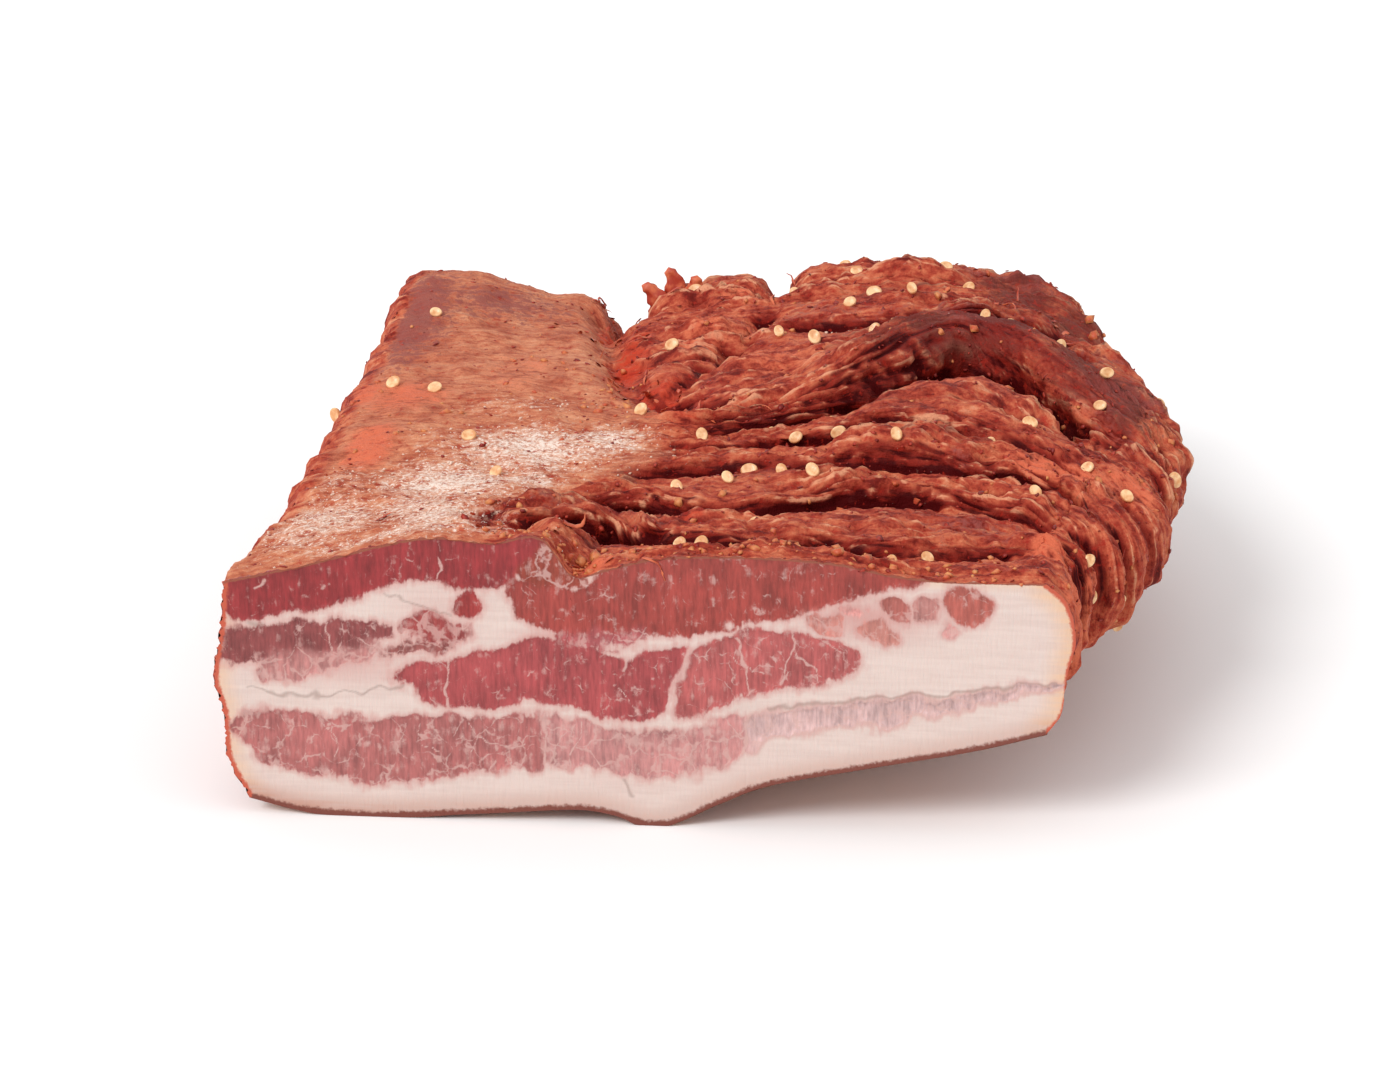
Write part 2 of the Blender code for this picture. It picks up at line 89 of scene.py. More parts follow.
# Folds between the muscle strips, which run as arches in plan, and the mesh rows run with them. Each has the
# row that follows it, knots of x and y along the lip of its rear wall, knots of x and its depth, and its
# width.
FOLDS = (
    {
        "row": 32, "width": 12,
        "lip": (
            (-110, 32), (-45, 33), (-32, 40), (-22, 47), (-12, 50), (-4, 43), (4, 35), (12, 31), (22, 29),
            (32, 30), (44, 32), (54, 31), (66, 33), (80, 38), (90, 38), (100, 35), (112, 29), (125, 22),
            (150, 14),
        ),
        "depth": (
            (-45, 0), (-34, 5), (-24, 8), (-12, 10), (-2, 8), (8, 4), (16, 4), (24, 7), (34, 7.5), (46, 6),
            (56, 3.5), (66, 2), (76, 3.5), (86, 5), (96, 4), (108, 3), (150, 2),
        ),
    },
    {
        "row": 66, "width": 11,
        "lip": (
            (-110, 66), (-40, 66), (-24, 67), (-14, 71), (-6, 71), (4, 66), (13, 62), (22, 64), (30, 69),
            (38, 73), (46, 77), (54, 79), (64, 78), (72, 75), (80, 71), (90, 67), (98, 62), (108, 55),
            (116, 48), (125, 42), (150, 32),
        ),
        "depth": (
            (-30, 0), (-20, 4), (-6, 6), (6, 4), (14, 2.5), (24, 5), (38, 6.5), (54, 7), (66, 6), (76, 3),
            (88, 2.5), (98, 4), (108, 6.5), (118, 6), (130, 4), (150, 3),
        ),
    },
    {
        "row": 91, "width": 9,
        "lip": (
            (-110, 91), (-40, 89), (-20, 88), (0, 92), (14, 95), (26, 95), (38, 95), (50, 96), (62, 95),
            (76, 93), (85, 94), (92, 89), (100, 85), (106, 79), (112, 70), (118, 63), (125, 57), (150, 45),
        ),
        "depth": (
            (-18, 0), (-6, 2.5), (8, 4), (20, 2.5), (34, 3), (46, 4.5), (62, 5), (74, 4), (82, 4),
            (94, 4.5), (106, 5), (118, 4), (130, 3), (150, 2),
        ),
    },
    {
        "row": 116, "width": 10,
        "lip": (
            (-110, 117), (-40, 115), (-20, 112), (0, 111), (20, 114), (30, 116), (42, 118), (50, 121),
            (58, 121), (66, 121), (76, 119), (84, 116), (92, 112), (100, 108), (108, 101), (114, 94),
            (120, 86), (126, 79), (150, 62),
        ),
        "depth": (
            (-16, 0), (0, 2), (14, 3.5), (28, 5.5), (44, 6), (58, 5.5), (68, 4), (78, 2), (90, 2.5),
            (102, 3.5), (114, 4), (130, 3), (150, 2),
        ),
    },
    {
        "row": 158, "width": 18,
        "lip": (
            (-110, 156), (-40, 148), (-16, 136), (0, 131), (12, 132), (22, 136), (32, 141), (40, 147),
            (47, 157), (54, 168), (61, 179), (68, 187), (75, 191), (82, 188), (89, 178), (95, 166),
            (102, 155), (110, 146), (118, 137), (126, 126), (150, 105),
        ),
        "depth": (
            (-6, 0), (4, 3), (14, 5), (28, 5.5), (38, 7), (48, 10), (60, 13), (76, 14.5), (90, 13.5),
            (104, 12), (116, 9.5), (126, 7), (138, 4), (150, 2),
        ),
    },
    {
        "row": 214, "width": 10,
        "lip": (
            (-110, 214), (0, 214), (20, 215), (40, 214), (60, 214), (74, 217), (86, 225), (96, 226),
            (108, 206), (125, 186), (150, 165),
        ),
        "depth": (
            (6, 0), (20, 2.5), (36, 3.5), (52, 3), (66, 3), (76, 5), (86, 9), (96, 8), (106, 4), (118, 3),
            (150, 2),
        ),
    },
)
WANDER = 2.5
WANDER_LENGTH = 24.0
STEEP_SIDE = 0.36
LONG_SIDE = 0.9
FOOT_TO_LIP = 0.62

# The smooth roll behind the deepest fold: which fold that is, how high it is, and where it rises and ends
ROLL_FOLD = 4
ROLL_HEIGHT = 5.5
ROLL_LEFT = (22, 52)
ROLL_RIGHT = (96, 128)

# How much further across the folds are read for each millimetre down the right flank, so that they lean
# forward there, and how far under the top that starts
FLANK_LEAN = 0.5
FLANK_START = 14.0

# Grooves that leave the folds: knots of x and y, depth and half width. The first is the torn seam between
# the smooth flank plate and the furrowed side.
GROOVES = (
    {
        "path": ((-36, 262), (-31, 222), (-27, 196), (-22, 173), (-14, 157), (-5, 147), (4, 140)),
        "depth": 6, "half": 6,
    },
    {"path": ((-10, 156), (-4, 165), (1, 175), (5, 188), (8, 204), (12, 226)), "depth": 4.5, "half": 5},
    {"path": ((-30, 300), (-29, 262), (-28, 246)), "depth": 13, "half": 7},
    {"path": ((14, 300), (14, 264), (13, 250)), "depth": 8, "half": 4.5},
    {"path": ((-44, 36), (-37, 27), (-30, 17), (-25, 6)), "depth": 4.5, "half": 5},
    {"path": ((97, 49), (101, 39), (106, 29), (109, 15), (110, 2)), "depth": 4.5, "half": 4},
    {"path": ((101, 104), (110, 97), (118, 89)), "depth": 3, "half": 4},
)

END_NOTCHES = ((-32, 20, 8), (13, 11, 6), (-58, 7, 16), (62, -4, 24))

# Chilli seeds, pressed into the rub: x and y of those on the top, and how many more there are all over
SEEDS = (
    (-82, 230), (-57, 110), (1, 257), (38, 255), (62, 255), (33, 272), (20, 253), (44, 233), (37, 222),
    (70, 240), (54, 222), (83, 208), (29, 188), (47, 177), (-11, 198), (19, 199), (96, 196), (37, 131),
    (30, 112), (41, 113), (22, 124), (3, 118), (19, 90), (28, 84), (36, 78), (14, 75), (2, 73), (5, 56),
    (24, 45), (-14, 138), (120, 145), (110, 170), (93, 79), (109, 102), (90, 120), (67, 25), (59, 15),
    (12, 15), (7, 21), (-85, 162),
)
MORE_SEEDS = 18
SEED_LENGTH = 4.0
SEED_THICKNESS = 1.7
SEED_GAP = 9.0
SEED_SEED = 11

# Torn curls of meat beside the deepest notch: foot x and depth, length, lean in degrees. Their root is how
# far they start under the skin, and their span is the width of the slab's top there.
CURLS = ((-21, 268, 7, -70), (-17, 267, 7, -25), (-12, 264, 4, 12))
CURL_SPAN = 198.0
CURL_RADIUS = 4.2
CURL_TAPER = 0.66
CURL_FLATNESS = 0.6
CURL_ROOT = 5.0

# Mesh density: columns up the left wall, over the top, down the right wall and across the rind, and rows
LEFT_COLUMNS = 40
TOP_COLUMNS = 200
RIGHT_COLUMNS = 54
RIND_COLUMNS = 70
SKIN_ROWS = 320
CUT_COLUMNS = 550
CUT_ROWS = 170

# A seed's section, as reach and lift, how it is tilted up from the skin, towards the cut, and how far its
# middle stands out of the skin
SEED_PROFILE = (
    (0.0, 0.30), (0.45, 0.26), (0.78, 0.42), (0.94, 0.34), (1.0, 0.0), (0.94, -0.34), (0.5, -0.42),
    (0.0, -0.42),
)
SEED_TILT = (0.0, -1.5, 0.1)
SEED_LIFT = 1.5

# The strands of the furrowed side: their width in millimetres, their length in widths, and their height
STRANDS = ((8.0, 5, 4.5), (4.0, 6, 3.2), (2.0, 5, 1.4))

# The creases at the feet of the folds, as shares of the folds' depth and width
CREASE_SHARE = 0.28
CREASE_WIDTH = 0.2

# How far the lips over them hang forwards, as a share of the fold's depth, and how wide they are
LIP_SHARE = 0.24
LIP_WIDTH = 0.3

# How wide the dried edge of the cut is along its top, bottom, left and right, in millimetres
RIM_WIDTHS = (0.35, 1.4, 1.2, 1.0)

# Where fibres are torn, in plan: x, y, half width, half depth, strength
TEARS = (
    (-17, 6, 9, 10, 1.0), (-24, 262, 14, 12, 0.8), (-36, 20, 8, 14, 0.7), (0, 136, 14, 12, 0.8),
    (16, 250, 8, 16, 0.3), (86, 226, 12, 12, 0.4),
)

# Where the main light comes from, and the point of the drawing that the camera looks at
SUN_FROM = (-0.45, -0.65, 0.61)
LOOKED_AT = (3.07, 120.0, 33.96)

# Lean areas of the cut face. Each has its colour, how marbled it is, from 0 to 1, and its outline in x and z
LEAN = (
    {"name": "top_left", "colour": "#892c2e", "marbling": 0.12, "outline": (
        (-105, 60), (-95, 63.5), (-83, 66), (-75, 69), (-62, 72), (-50, 75), (-37, 74), (-26, 76),
        (-23, 71), (-28, 68.5), (-31, 65.5), (-33, 62.5), (-37, 61), (-45, 60.6), (-47, 62), (-53, 63.6),
        (-58, 62.5),
        (-65, 60.5), (-70, 57.5), (-76, 55.5), (-84, 53.6), (-91, 52.4), (-97, 51), (-103, 51), (-106, 55))},
    {"name": "dark_spot", "colour": "#8f302e", "marbling": 0.1, "outline": (
        (-46.5, 56.5), (-44, 59), (-41, 59), (-40.3, 56), (-41, 53), (-45, 53))},
    {"name": "left_band", "colour": "#7f3e3d", "marbling": 0.3, "outline": (
        (-98, 48.5), (-91, 49), (-84, 50.3), (-79, 50.2), (-76, 50.8), (-70, 50.4), (-65, 50.6), (-62, 49),
        (-63, 47), (-70, 44.6), (-78, 43.2), (-86, 41.6), (-93, 41.5), (-97, 40.4), (-105, 40), (-105, 47))},
    {"name": "left_band_frayed", "colour": "#8c3a38", "marbling": 0.8, "outline": (
        (-60, 48), (-58, 52), (-55, 53.4), (-50, 51.6), (-45, 50), (-43.5, 48.4), (-48, 46.8), (-53, 47.6))},
    {"name": "left_shreds", "colour": "#864945", "marbling": 0.6, "outline": (
        (-64, 42.2), (-60, 45.4), (-55, 46.2), (-48, 46.6), (-46, 45.2), (-52, 44.2), (-60, 43.6))},
    {"name": "left_haze", "colour": "#ab726e", "marbling": 0.75, "outline": (
        (-96, 39.5), (-90, 41), (-84, 42.4), (-76, 43.4), (-68, 44.6), (-64, 44), (-67, 42), (-73, 41),
        (-79, 38.6), (-83, 35.6), (-89, 34.8), (-94, 36.4))},
    {"name": "middle", "colour": "#994243", "marbling": 0.22, "outline": (
        (-63, 36.6), (-60, 38.6), (-56, 40.2), (-50, 40.6), (-46, 41), (-42, 43.4), (-36, 44), (-31, 46),
        (-27, 47.5), (-20, 47.4), (-15, 46.8), (-12, 45.8), (-10, 44.4), (-6, 43.4), (-4.4, 41.6),
        (-2, 43.8), (0, 45), (4, 45.4), (8, 46.8), (10.2, 46.6), (9.2, 43.6), (8.2, 40), (6.8, 36),
        (5.6, 33), (4.2, 30.4), (1.6, 28.4), (-3, 27.8), (-8, 27.9), (-12, 29), (-15, 30.6), (-18, 31.4),
        (-25, 31.2), (-28.4, 33),
        (-31, 31.6), (-36, 30.4), (-44, 30), (-51, 30.4), (-54.4, 31.6), (-55.4, 34), (-58, 35.4))},
    {"name": "right_of_septum", "colour": "#a2514f", "marbling": 0.35, "outline": (
        (12.2, 45.6), (14, 47.2), (18, 48.2), (20.4, 49.2), (21.6, 50.6), (25, 51.6), (31, 51.4),
        (36, 50.6), (41, 50), (46, 48.4), (50, 46.6), (53, 44.8), (51, 43.2), (47, 40.6), (42, 38.4),
        (36, 37), (30, 36.4),
        (25, 36), (21, 33.6), (17, 31.4), (13, 29.7), (9, 29.3), (8, 31), (8.7, 35), (9.7, 39), (10.8, 43))},
    {"name": "centre_top", "colour": "#913b34", "marbling": 0.16, "outline": (
        (-32, 62.4), (-27, 61.8), (-22, 60.8), (-17, 60), (-12.5, 61.4), (-10.6, 66.8), (-4, 68), (4, 71),
        (20, 72), (40, 71.5), (52, 70), (60, 68), (69, 66.4), (64, 64.6), (59, 63.8), (54, 62.4), (50, 61),
        (46, 59.6), (42, 57.6), (38, 56.2), (34, 55.5), (28, 54.8), (23, 53.4), (19, 51.6), (15, 50.6),
        (8, 50.5), (0, 50.3), (-6, 51), (-12, 50.4), (-16, 49.6), (-21, 49.8), (-26, 51.6), (-31, 53.6),
        (-30, 57), (-33.4, 59.4))},
    {"name": "notch_side", "colour": "#85382b", "marbling": 0.7, "outline": (
        (-33, 62.4), (-30, 66), (-27, 72), (-25, 75), (-21, 70), (-17, 65), (-14, 62), (-18, 60.4),
        (-24, 60.4))},
    {"name": "centre_seam", "colour": "#9d4f51", "marbling": 0.7, "outline": (
        (-22, 49), (-12, 50), (-5, 50.4), (-1, 49.6), (-1.6, 47.6), (-6, 47.6), (-12, 47.4), (-18, 47.6))},
    {"name": "marbled_point", "colour": "#b5756b", "marbling": 0.55, "outline": (
        (38.6, 54.4), (41, 55.4), (46, 55), (48, 52), (46, 50.6), (42, 52.6))},
    {"name": "marbled_a", "colour": "#a05951", "marbling": 0.5, "outline": (
        (56.4, 58.6), (59, 60.4), (63, 60.2), (65, 58), (63, 55.6), (59, 55.8))},
    {"name": "marbled_b", "colour": "#a96e64", "marbling": 0.5, "outline": (
        (52.6, 54.6), (55.6, 55.4), (58, 53.6), (60.8, 53), (61, 50.2), (57, 49.8), (54, 51.4))},
    {"name": "marbled_c", "colour": "#a2544a", "marbling": 0.35, "outline": (
        (71.4, 61), (74, 62.6), (78.6, 62.4), (82.4, 61.4), (83.2, 58.4), (81, 54.8), (77.6, 54.8),
        (74, 57.6))},
    {"name": "marbled_d", "colour": "#a06b65", "marbling": 0.5, "outline": (
        (65.6, 60), (68, 61.6), (71, 60), (70, 57), (67, 56.4))},
    {"name": "marbled_e", "colour": "#c68e89", "marbling": 0.5, "outline": (
        (71.6, 54), (74.6, 54.4), (75.4, 52.4), (72.6, 52))},
    {"name": "marbled_f", "colour": "#c98b85", "marbling": 0.5, "outline": (
        (46.4, 57), (50, 58.2), (53, 57.2), (49, 56))},
    {"name": "low_left", "colour": "#a05d5a", "marbling": 0.45, "outline": (
        (-101, 25.6), (-95, 27), (-87, 26.4), (-78, 26.6), (-70, 25.6), (-62, 25.4), (-54, 26.4), (-48, 27),
        (-42, 26), (-36, 27), (-31, 28.4), (-25, 28), (-23.6, 21), (-24, 15.6), (-28, 14.2), (-33, 13.6),
        (-39, 14), (-46, 12.6), (-53, 12.2), (-58, 10.6), (-62, 10.8), (-66, 9.4), (-70, 9), (-74, 11.2),
        (-77, 11), (-84, 12.2), (-88, 13), (-92, 13), (-95, 15), (-96.4, 18), (-99, 20.4), (-102, 22.6))},
    {"name": "low_middle", "colour": "#ae7673", "marbling": 0.6, "outline": (
        (-25, 28), (-19, 27.4), (-15, 26), (-10, 24.8), (-4, 24), (3, 23.4), (9, 24.6), (14, 26.4),
        (20, 28.4), (26, 29.6), (26, 21), (23, 19), (20, 17), (15, 15.6), (10, 14.4), (5, 13), (0, 12.6),
        (-4, 13.6),
        (-9, 15.2), (-16, 15.6), (-24, 15.4))},
    {"name": "low_right", "colour": "#bf9e9b", "marbling": 0.5, "outline": (
        (25, 29.2), (32, 30.4), (40, 31.2), (50, 32.8), (60, 34), (70, 35), (78, 36), (88, 38.2),
        (96, 39.9), (103, 40.6), (103, 39.8), (96, 38.8), (87, 36.8), (80, 34.6), (75, 32.6), (68, 31.8),
        (60, 29.6),
        (52, 29.2), (47, 29), (42, 27.4), (36, 25.6), (30, 23.8), (25, 20.4))},
)

# Pinkish fat, tinted by what lies near it: x, z, half width, half height, strength
HAZE = (
    (-78, 40, 20, 5, 0.8), (-53, 48, 12, 6, 0.6), (-20, 48.5, 14, 2.4, 0.7), (54, 55.5, 16, 6, 0.95),
    (-50, 56, 14, 6, 0.3), (70, 57, 12, 5, 0.5), (0, 18, 26, 7, 0.35), (-4, 29, 6, 3, 0.4),
)

# White septa and veins: their lines in x and z, and their full width
VEINS = (
    (((15, 50), (12.4, 47.6), (10.4, 44.6), (9.2, 41), (8, 37), (7, 33), (6.6, 29)), 1.9),
    (((-48.7, 42), (-48.4, 36), (-48.2, 29)), 0.7),
    (((-4.6, 44), (-4.8, 40.4)), 0.8),
    (((-7, 36), (-5, 33.4), (-3, 31), (-1.4, 29)), 0.4),
    (((22.4, 50.6), (24, 46.6), (25, 42.6), (25.3, 39), (26, 36)), 0.5),
    (((21, 45), (24, 43.4), (26.6, 41.4), (29, 41)), 0.35),
    (((36.2, 51), (36.6, 47), (35.4, 43.6), (34.2, 40.6), (34, 37)), 0.5),
    (((36.6, 46.8), (39, 44.2), (42, 41.6), (43, 39)), 0.45),
    (((42, 50), (45, 47.4), (48, 46)), 0.45),
    (((-50.2, 68), (-49, 65.4), (-50, 63)), 0.5),
    (((-95.4, 59), (-93, 60.4)), 0.7),
    (((-24, 29), (-23.8, 22), (-24.2, 15)), 0.8),
    (((-15.6, 26), (-16.6, 22), (-18, 18)), 0.5),
    (((26, 30.4), (25.6, 25), (24.6, 19.6)), 0.9),
    (((-81, 26), (-79, 23), (-76, 20), (-76.4, 15)), 0.5),
    (((-79, 23), (-74, 24)), 0.4),
    (((-41, 22), (-37, 20), (-33, 19), (-30, 21)), 0.7),
    (((-44, 26), (-41, 22), (-42, 17)), 0.5),
    (((-56, 24), (-55, 19), (-51, 17)), 0.35),
    (((-77.2, 51), (-77.2, 43)), 0.6),
    (((-22, 76), (-22.6, 70)), 0.9),
    (((31, 31), (31, 24)), 0.4),
)

# Pale flecks of fat in the lean: x, z, radius
FLECKS = (
    (-83, 57.2, 0.9), (-79, 59.6, 0.8), (-77.6, 60, 0.6), (-1.4, 29.4, 1.2), (-8.4, 37, 0.7),
    (-6, 38.6, 0.5), (2, 38, 0.7), (3.6, 36, 0.5), (-69, 18.6, 1.3), (-66, 18, 0.9), (-60, 21, 0.8),
    (-78, 24.6, 1.2), (-3.4, 17.4, 0.9), (1.6, 18.6, 0.9), (4, 16, 0.7), (10.6, 19, 0.9), (14, 22, 0.8),
    (-12, 20.6, 0.8), (-34, 19, 1.1), (-37.4, 23, 0.8), (-28, 17, 0.9), (-46, 22, 0.8), (44, 48.6, 0.8),
    (38, 45, 0.6), (30, 27, 0.7), (39, 28, 0.6), (-88, 36.6, 0.7), (17, 25, 0.7), (-52, 15, 0.6),
    (-20, 54.6, 0.7),
)

# White patches that lie over the lean: x, z, half width, half height
PATCHES = (
    (-36, 56, 4.6, 3.6), (-7.6, 46.2, 4.4, 1.5), (8, 48.4, 9, 1.8), (-4.2, 44.6, 1.6, 2.2),
    (20.6, 52.6, 1.8, 1.8),
)

# The border between the smooth flank plate and the furrowed side: y, and x there
PLATE_EDGE = (
    (0, -42), (30, -43), (45, -38), (60, -28), (76, -20), (88, -10), (98, -2), (110, -7), (130, -12),
    (140, -8), (150, -9), (160, -16), (173, -22), (196, -27), (222, -31), (262, -36), (290, -37),
)

# Where the skin is coloured, in plan: x, y, half width, half depth, strength. Bloom is salt and dried fat,
# orange is spiced fat, plum is bare purple-brown meat, red is freshly torn meat, wine is the dark smooth
# meat of the roll and of the folds' backs, and the pockets are deep hollows darkened with painted shade.
BLOOM = (
    (-40, 102, 30, 24, 1.0), (-20, 110, 14, 16, 0.95), (-57, 72, 26, 24, 1.0), (-54, 30, 16, 32, 0.95),
    (-84, 40, 22, 36, 0.85), (-62, 45, 20, 26, 0.85), (-38, 76, 14, 14, 0.85), (-48, 140, 22, 14, 0.5),
    (-60, 12, 38, 9, 0.85), (45, 203, 22, 5, 0.4), (-86, 76, 14, 18, 0.6),
)
ORANGE = (
    (-83, 104, 9, 26, 1.0), (-80, 150, 16, 22, 0.8), (-92, 158, 6, 14, 0.9), (-52, 175, 18, 42, 0.5),
    (-5, 140, 12, 12, 0.7), (-3, 210, 14, 50, 0.6), (97, 94, 15, 11, 1.0), (64, 16, 20, 9, 0.6),
    (-38, 24, 7, 18, 0.6), (18, 176, 16, 30, 0.6), (96, 34, 6, 26, 0.8), (108, 34, 6, 22, 0.8),
    (116, 96, 12, 30, 0.7), (76, 148, 30, 8, 0.8), (100, 148, 12, 8, 0.7), (-74, 28, 8, 10, 0.35),
    (-14, 6, 9, 7, 0.9), (112, 16, 12, 34, 1.3), (102, 76, 12, 18, 0.6), (4, 250, 12, 12, 0.6),
)
PLUM = (
    (-90, 228, 14, 50, 1.0), (-66, 246, 24, 18, 0.7), (76, 203, 40, 14, 0.9), (114, 170, 12, 34, 0.8),
    (30, 222, 16, 16, 0.4), (78, 48, 20, 10, 0.5), (-28, 50, 14, 14, 0.4), (62, 92, 30, 6, 0.35),
    (84, 265, 20, 14, 0.6),
)
RED = (
    (-3, 140, 10, 15, 1.0), (-24, 196, 7, 40, 0.8), (-34, 240, 6, 18, 0.7), (8, 48, 20, 6, 0.5),
    (97, 170, 12, 30, 0.3), (-12, 160, 10, 14, 0.8),
)
WINE = (
    (64, 186, 22, 12, 1.0), (84, 196, 20, 16, 1.0), (104, 178, 14, 26, 0.95), (46, 172, 16, 10, 0.7),
    (102, 236, 14, 20, 0.9), (84, 250, 16, 26, 0.8), (50, 236, 24, 10, 0.45), (116, 150, 10, 16, 0.8),
    (40, 128, 26, 6, 0.5), (70, 106, 26, 6, 0.4), (30, 84, 24, 5, 0.5), (62, 62, 30, 6, 0.4),
    (20, 128, 12, 8, 0.6), (-10, 84, 10, 6, 0.6), (36, 26, 26, 6, 0.5),
)
# Painted shade: deep pockets whose colour is darkened for the shade in them
SHADED_POCKETS = (
    (-14, 30, 14, 14, 1.3), (36, 20, 24, 7, 1.4), (10, 24, 10, 5, 0.9), (85, 33, 6, 6, 0.7),
    (103, 36, 4, 8, 0.8), (86, 226, 9, 13, 1.0), (-2, 172, 8, 14, 0.7), (60, 168, 30, 8, 0.5),
)

# Where the rub lies thickest: the crumbs' drift at the cut's edge, in the torn notch and beside the seam
DRIFTS = (
    (-17, 8, 8, 10, 1.0), (4, 8, 16, 8, 0.7), (40, 12, 26, 9, 0.6), (73, 8, 18, 8, 0.9),
    (-36, 22, 7, 16, 0.4), (-26, 150, 8, 20, 0.35), (-22, 262, 12, 10, 0.4), (64, 22, 8, 6, 0.6),
)

# Thin grey membranes and dark marks on the cut, lines in x and z, and their full width
MEMBRANES = (
    (((30, 31.6), (45, 33.6), (60, 35.4), (80, 38), (100, 41)), 0.5),
    (((-97, 33), (-90, 31.5), (-81, 31.5), (-70, 33), (-60, 34.5)), 0.4),
    (((-5.5, 12), (-4.6, 10), (-4, 8)), 0.5),
    (((-63, 59), (-58, 56), (-52, 54), (-47, 53)), 0.35),
    (((-97, 50), (-94, 49.5)), 1.0),
    (((-81.4, 31.5), (-80.8, 31.5)), 0.9),
)


def smooth_step(low, high, value):
    """0 below low, 1 above high, and a smooth rise between."""
    t = np.clip((np.asarray(value, float) - low) / (high - low), 0.0, 1.0)
    return t * t * (3.0 - 2.0 * t)


def along(knots, value):
    """A smooth curve through the knots, read at value."""
    at = np.array([k[0] for k in knots], float)
    height = np.array([k[1] for k in knots], float)
    slope = np.gradient(height, at)
    value = np.clip(np.asarray(value, float), at[0], at[-1])
    i = np.clip(np.searchsorted(at, value, side="right") - 1, 0, len(at) - 2)
    span = at[i + 1] - at[i]
    t = (value - at[i]) / span
    return (
        (2 * t**3 - 3 * t**2 + 1) * height[i]
        + (t**3 - 2 * t**2 + t) * span * slope[i]
        + (3 * t**2 - 2 * t**3) * height[i + 1]
        + (t**3 - t**2) * span * slope[i + 1]
    )


def rounded_run(points, share):
    """A point at each share of the length of a smooth line through the points."""
    corner = np.array(points, float)
    knots = np.arange(len(corner))
    fine = np.linspace(0, len(corner) - 1, 40 * len(corner))
    line = np.stack([along(np.stack([knots, corner[:, k]], 1), fine) for k in (0, 1)], 1)
    length = np.concatenate([[0.0], np.cumsum(np.linalg.norm(np.diff(line, axis=0), axis=1))])
    wanted = share * length[-1]
    return np.interp(wanted, length, line[:, 0]), np.interp(wanted, length, line[:, 1])


def lumps(x, y, z, size, seed, stretch=(1, 1, 1)):
    """Smooth uneven lumps of about the given size, from -1 to 1, drawn out along an axis by its stretch."""
    x, y, z = np.broadcast_arrays(x, y, z)
    places = np.stack([x / stretch[0], y / stretch[1], z / stretch[2]], -1).reshape(-1, 3) / size + seed
    return np.array([noise.noise(Vector(p)) for p in places]).reshape(x.shape)


def crown(x, y):
    """How far the inner side stands over or under the mean thickness."""
    reach = smooth_step(40, 130, y) * (1 - 0.8 * smooth_step(205, 285, y))
    belly = 9.0 * np.exp(-(((x - 58) / 46) ** 2)) * reach
    dish = 5.0 * np.exp(-(((x + 48) / 32) ** 2 + ((y - 255) / 60) ** 2))
    rear = 5.0 * smooth_step(200, 280, y) * (1 - np.exp(-(((x + 25) / 42) ** 2)))
    return belly - dish + rear


def rear_section(side, share, y):
    """The section away from the cut: a box with rounded corners, wider and rounder to the right."""
    q = 2.0 * share - 1.0
    corner = {0: (q, 1.0), 1: (1.0, -q), 2: (-q, -1.0), 3: (-1.0, q)}[side]
    across, up = np.broadcast_arrays(*[np.asarray(c, float) for c in corner])
    squareness = LEFT_SQUARENESS + (RIGHT_SQUARENESS - LEFT_SQUARENESS) * smooth_step(-0.2, 0.9, across)
    norm = (np.abs(across) ** squareness + np.abs(up) ** squareness) ** (1.0 / squareness)
    across, up = across / norm, up / norm
    left, right = along(LEFT_WALL, y), along(RIGHT_WALL, y)
    x = left + (right - left) * (across + 1) / 2
    top = THICKNESS + crown(x, y)
    z = np.maximum(top * (up + 1) / 2 - FLAT_CUT * smooth_step(0.4, -0.6, up), 0.0)
    return x, z + CURL_UP_HEIGHT * smooth_step(*CURL_UP, x) * (1 - z / top)


def cut_section(side, share):
    """The cut's outline in x and z along its top, right side, bottom or left side."""
    return rounded_run((CUT_TOP, CUT_RIGHT, CUT_BOTTOM, CUT_LEFT)[side], share)


def flank_reach(x, z):
    """How far across the folds a point is read: its x, and more the further it is down the flank."""
    return x + FLANK_LEAN * np.maximum(THICKNESS - FLANK_START - z, 0)


def folded(row, x):
    """The distance from the cut face of a row at x. Rows keep their order, and run along the folds' lips."""
    rows = np.array([0.0] + [f["row"] for f in FOLDS] + [SLAB_DEPTH])
    places = np.stack([0 * x] + [along(f["lip"], x) for f in FOLDS] + [0 * x + SLAB_DEPTH])
    rate = np.diff(places, axis=0) / np.diff(rows).reshape((-1,) + (1,) * x.ndim)
    slope = np.concatenate([rate[:1], 2 * rate[1:] * rate[:-1] / (rate[1:] + rate[:-1]), rate[-1:]])
    i = np.clip(np.searchsorted(rows, row, side="right") - 1, 0, len(rows) - 2)
    span = rows[i + 1] - rows[i]
    t = (row - rows[i]) / span
    near, far, near_slope, far_slope = (
        np.take_along_axis(values, index[None], 0)[0]
        for values, index in ((places, i), (places, i + 1), (slope, i), (slope, i + 1))
    )
    return (
        (2 * t**3 - 3 * t**2 + 1) * near
        + (t**3 - 2 * t**2 + t) * span * near_slope
        + (3 * t**2 - 2 * t**3) * far
        + (t**3 - t**2) * span * far_slope
    )


def line_distance(x, y, path):
    """How far each point lies from an open line."""
    nearest = np.full(np.broadcast(x, y).shape, np.inf)
    for (start_x, start_y), (end_x, end_y) in zip(path, path[1:]):
        run_x, run_y = end_x - start_x, end_y - start_y
        t = np.clip(((x - start_x) * run_x + (y - start_y) * run_y) / (run_x**2 + run_y**2), 0, 1)
        nearest = np.minimum(nearest, np.hypot(x - start_x - t * run_x, y - start_y - t * run_y))
    return nearest


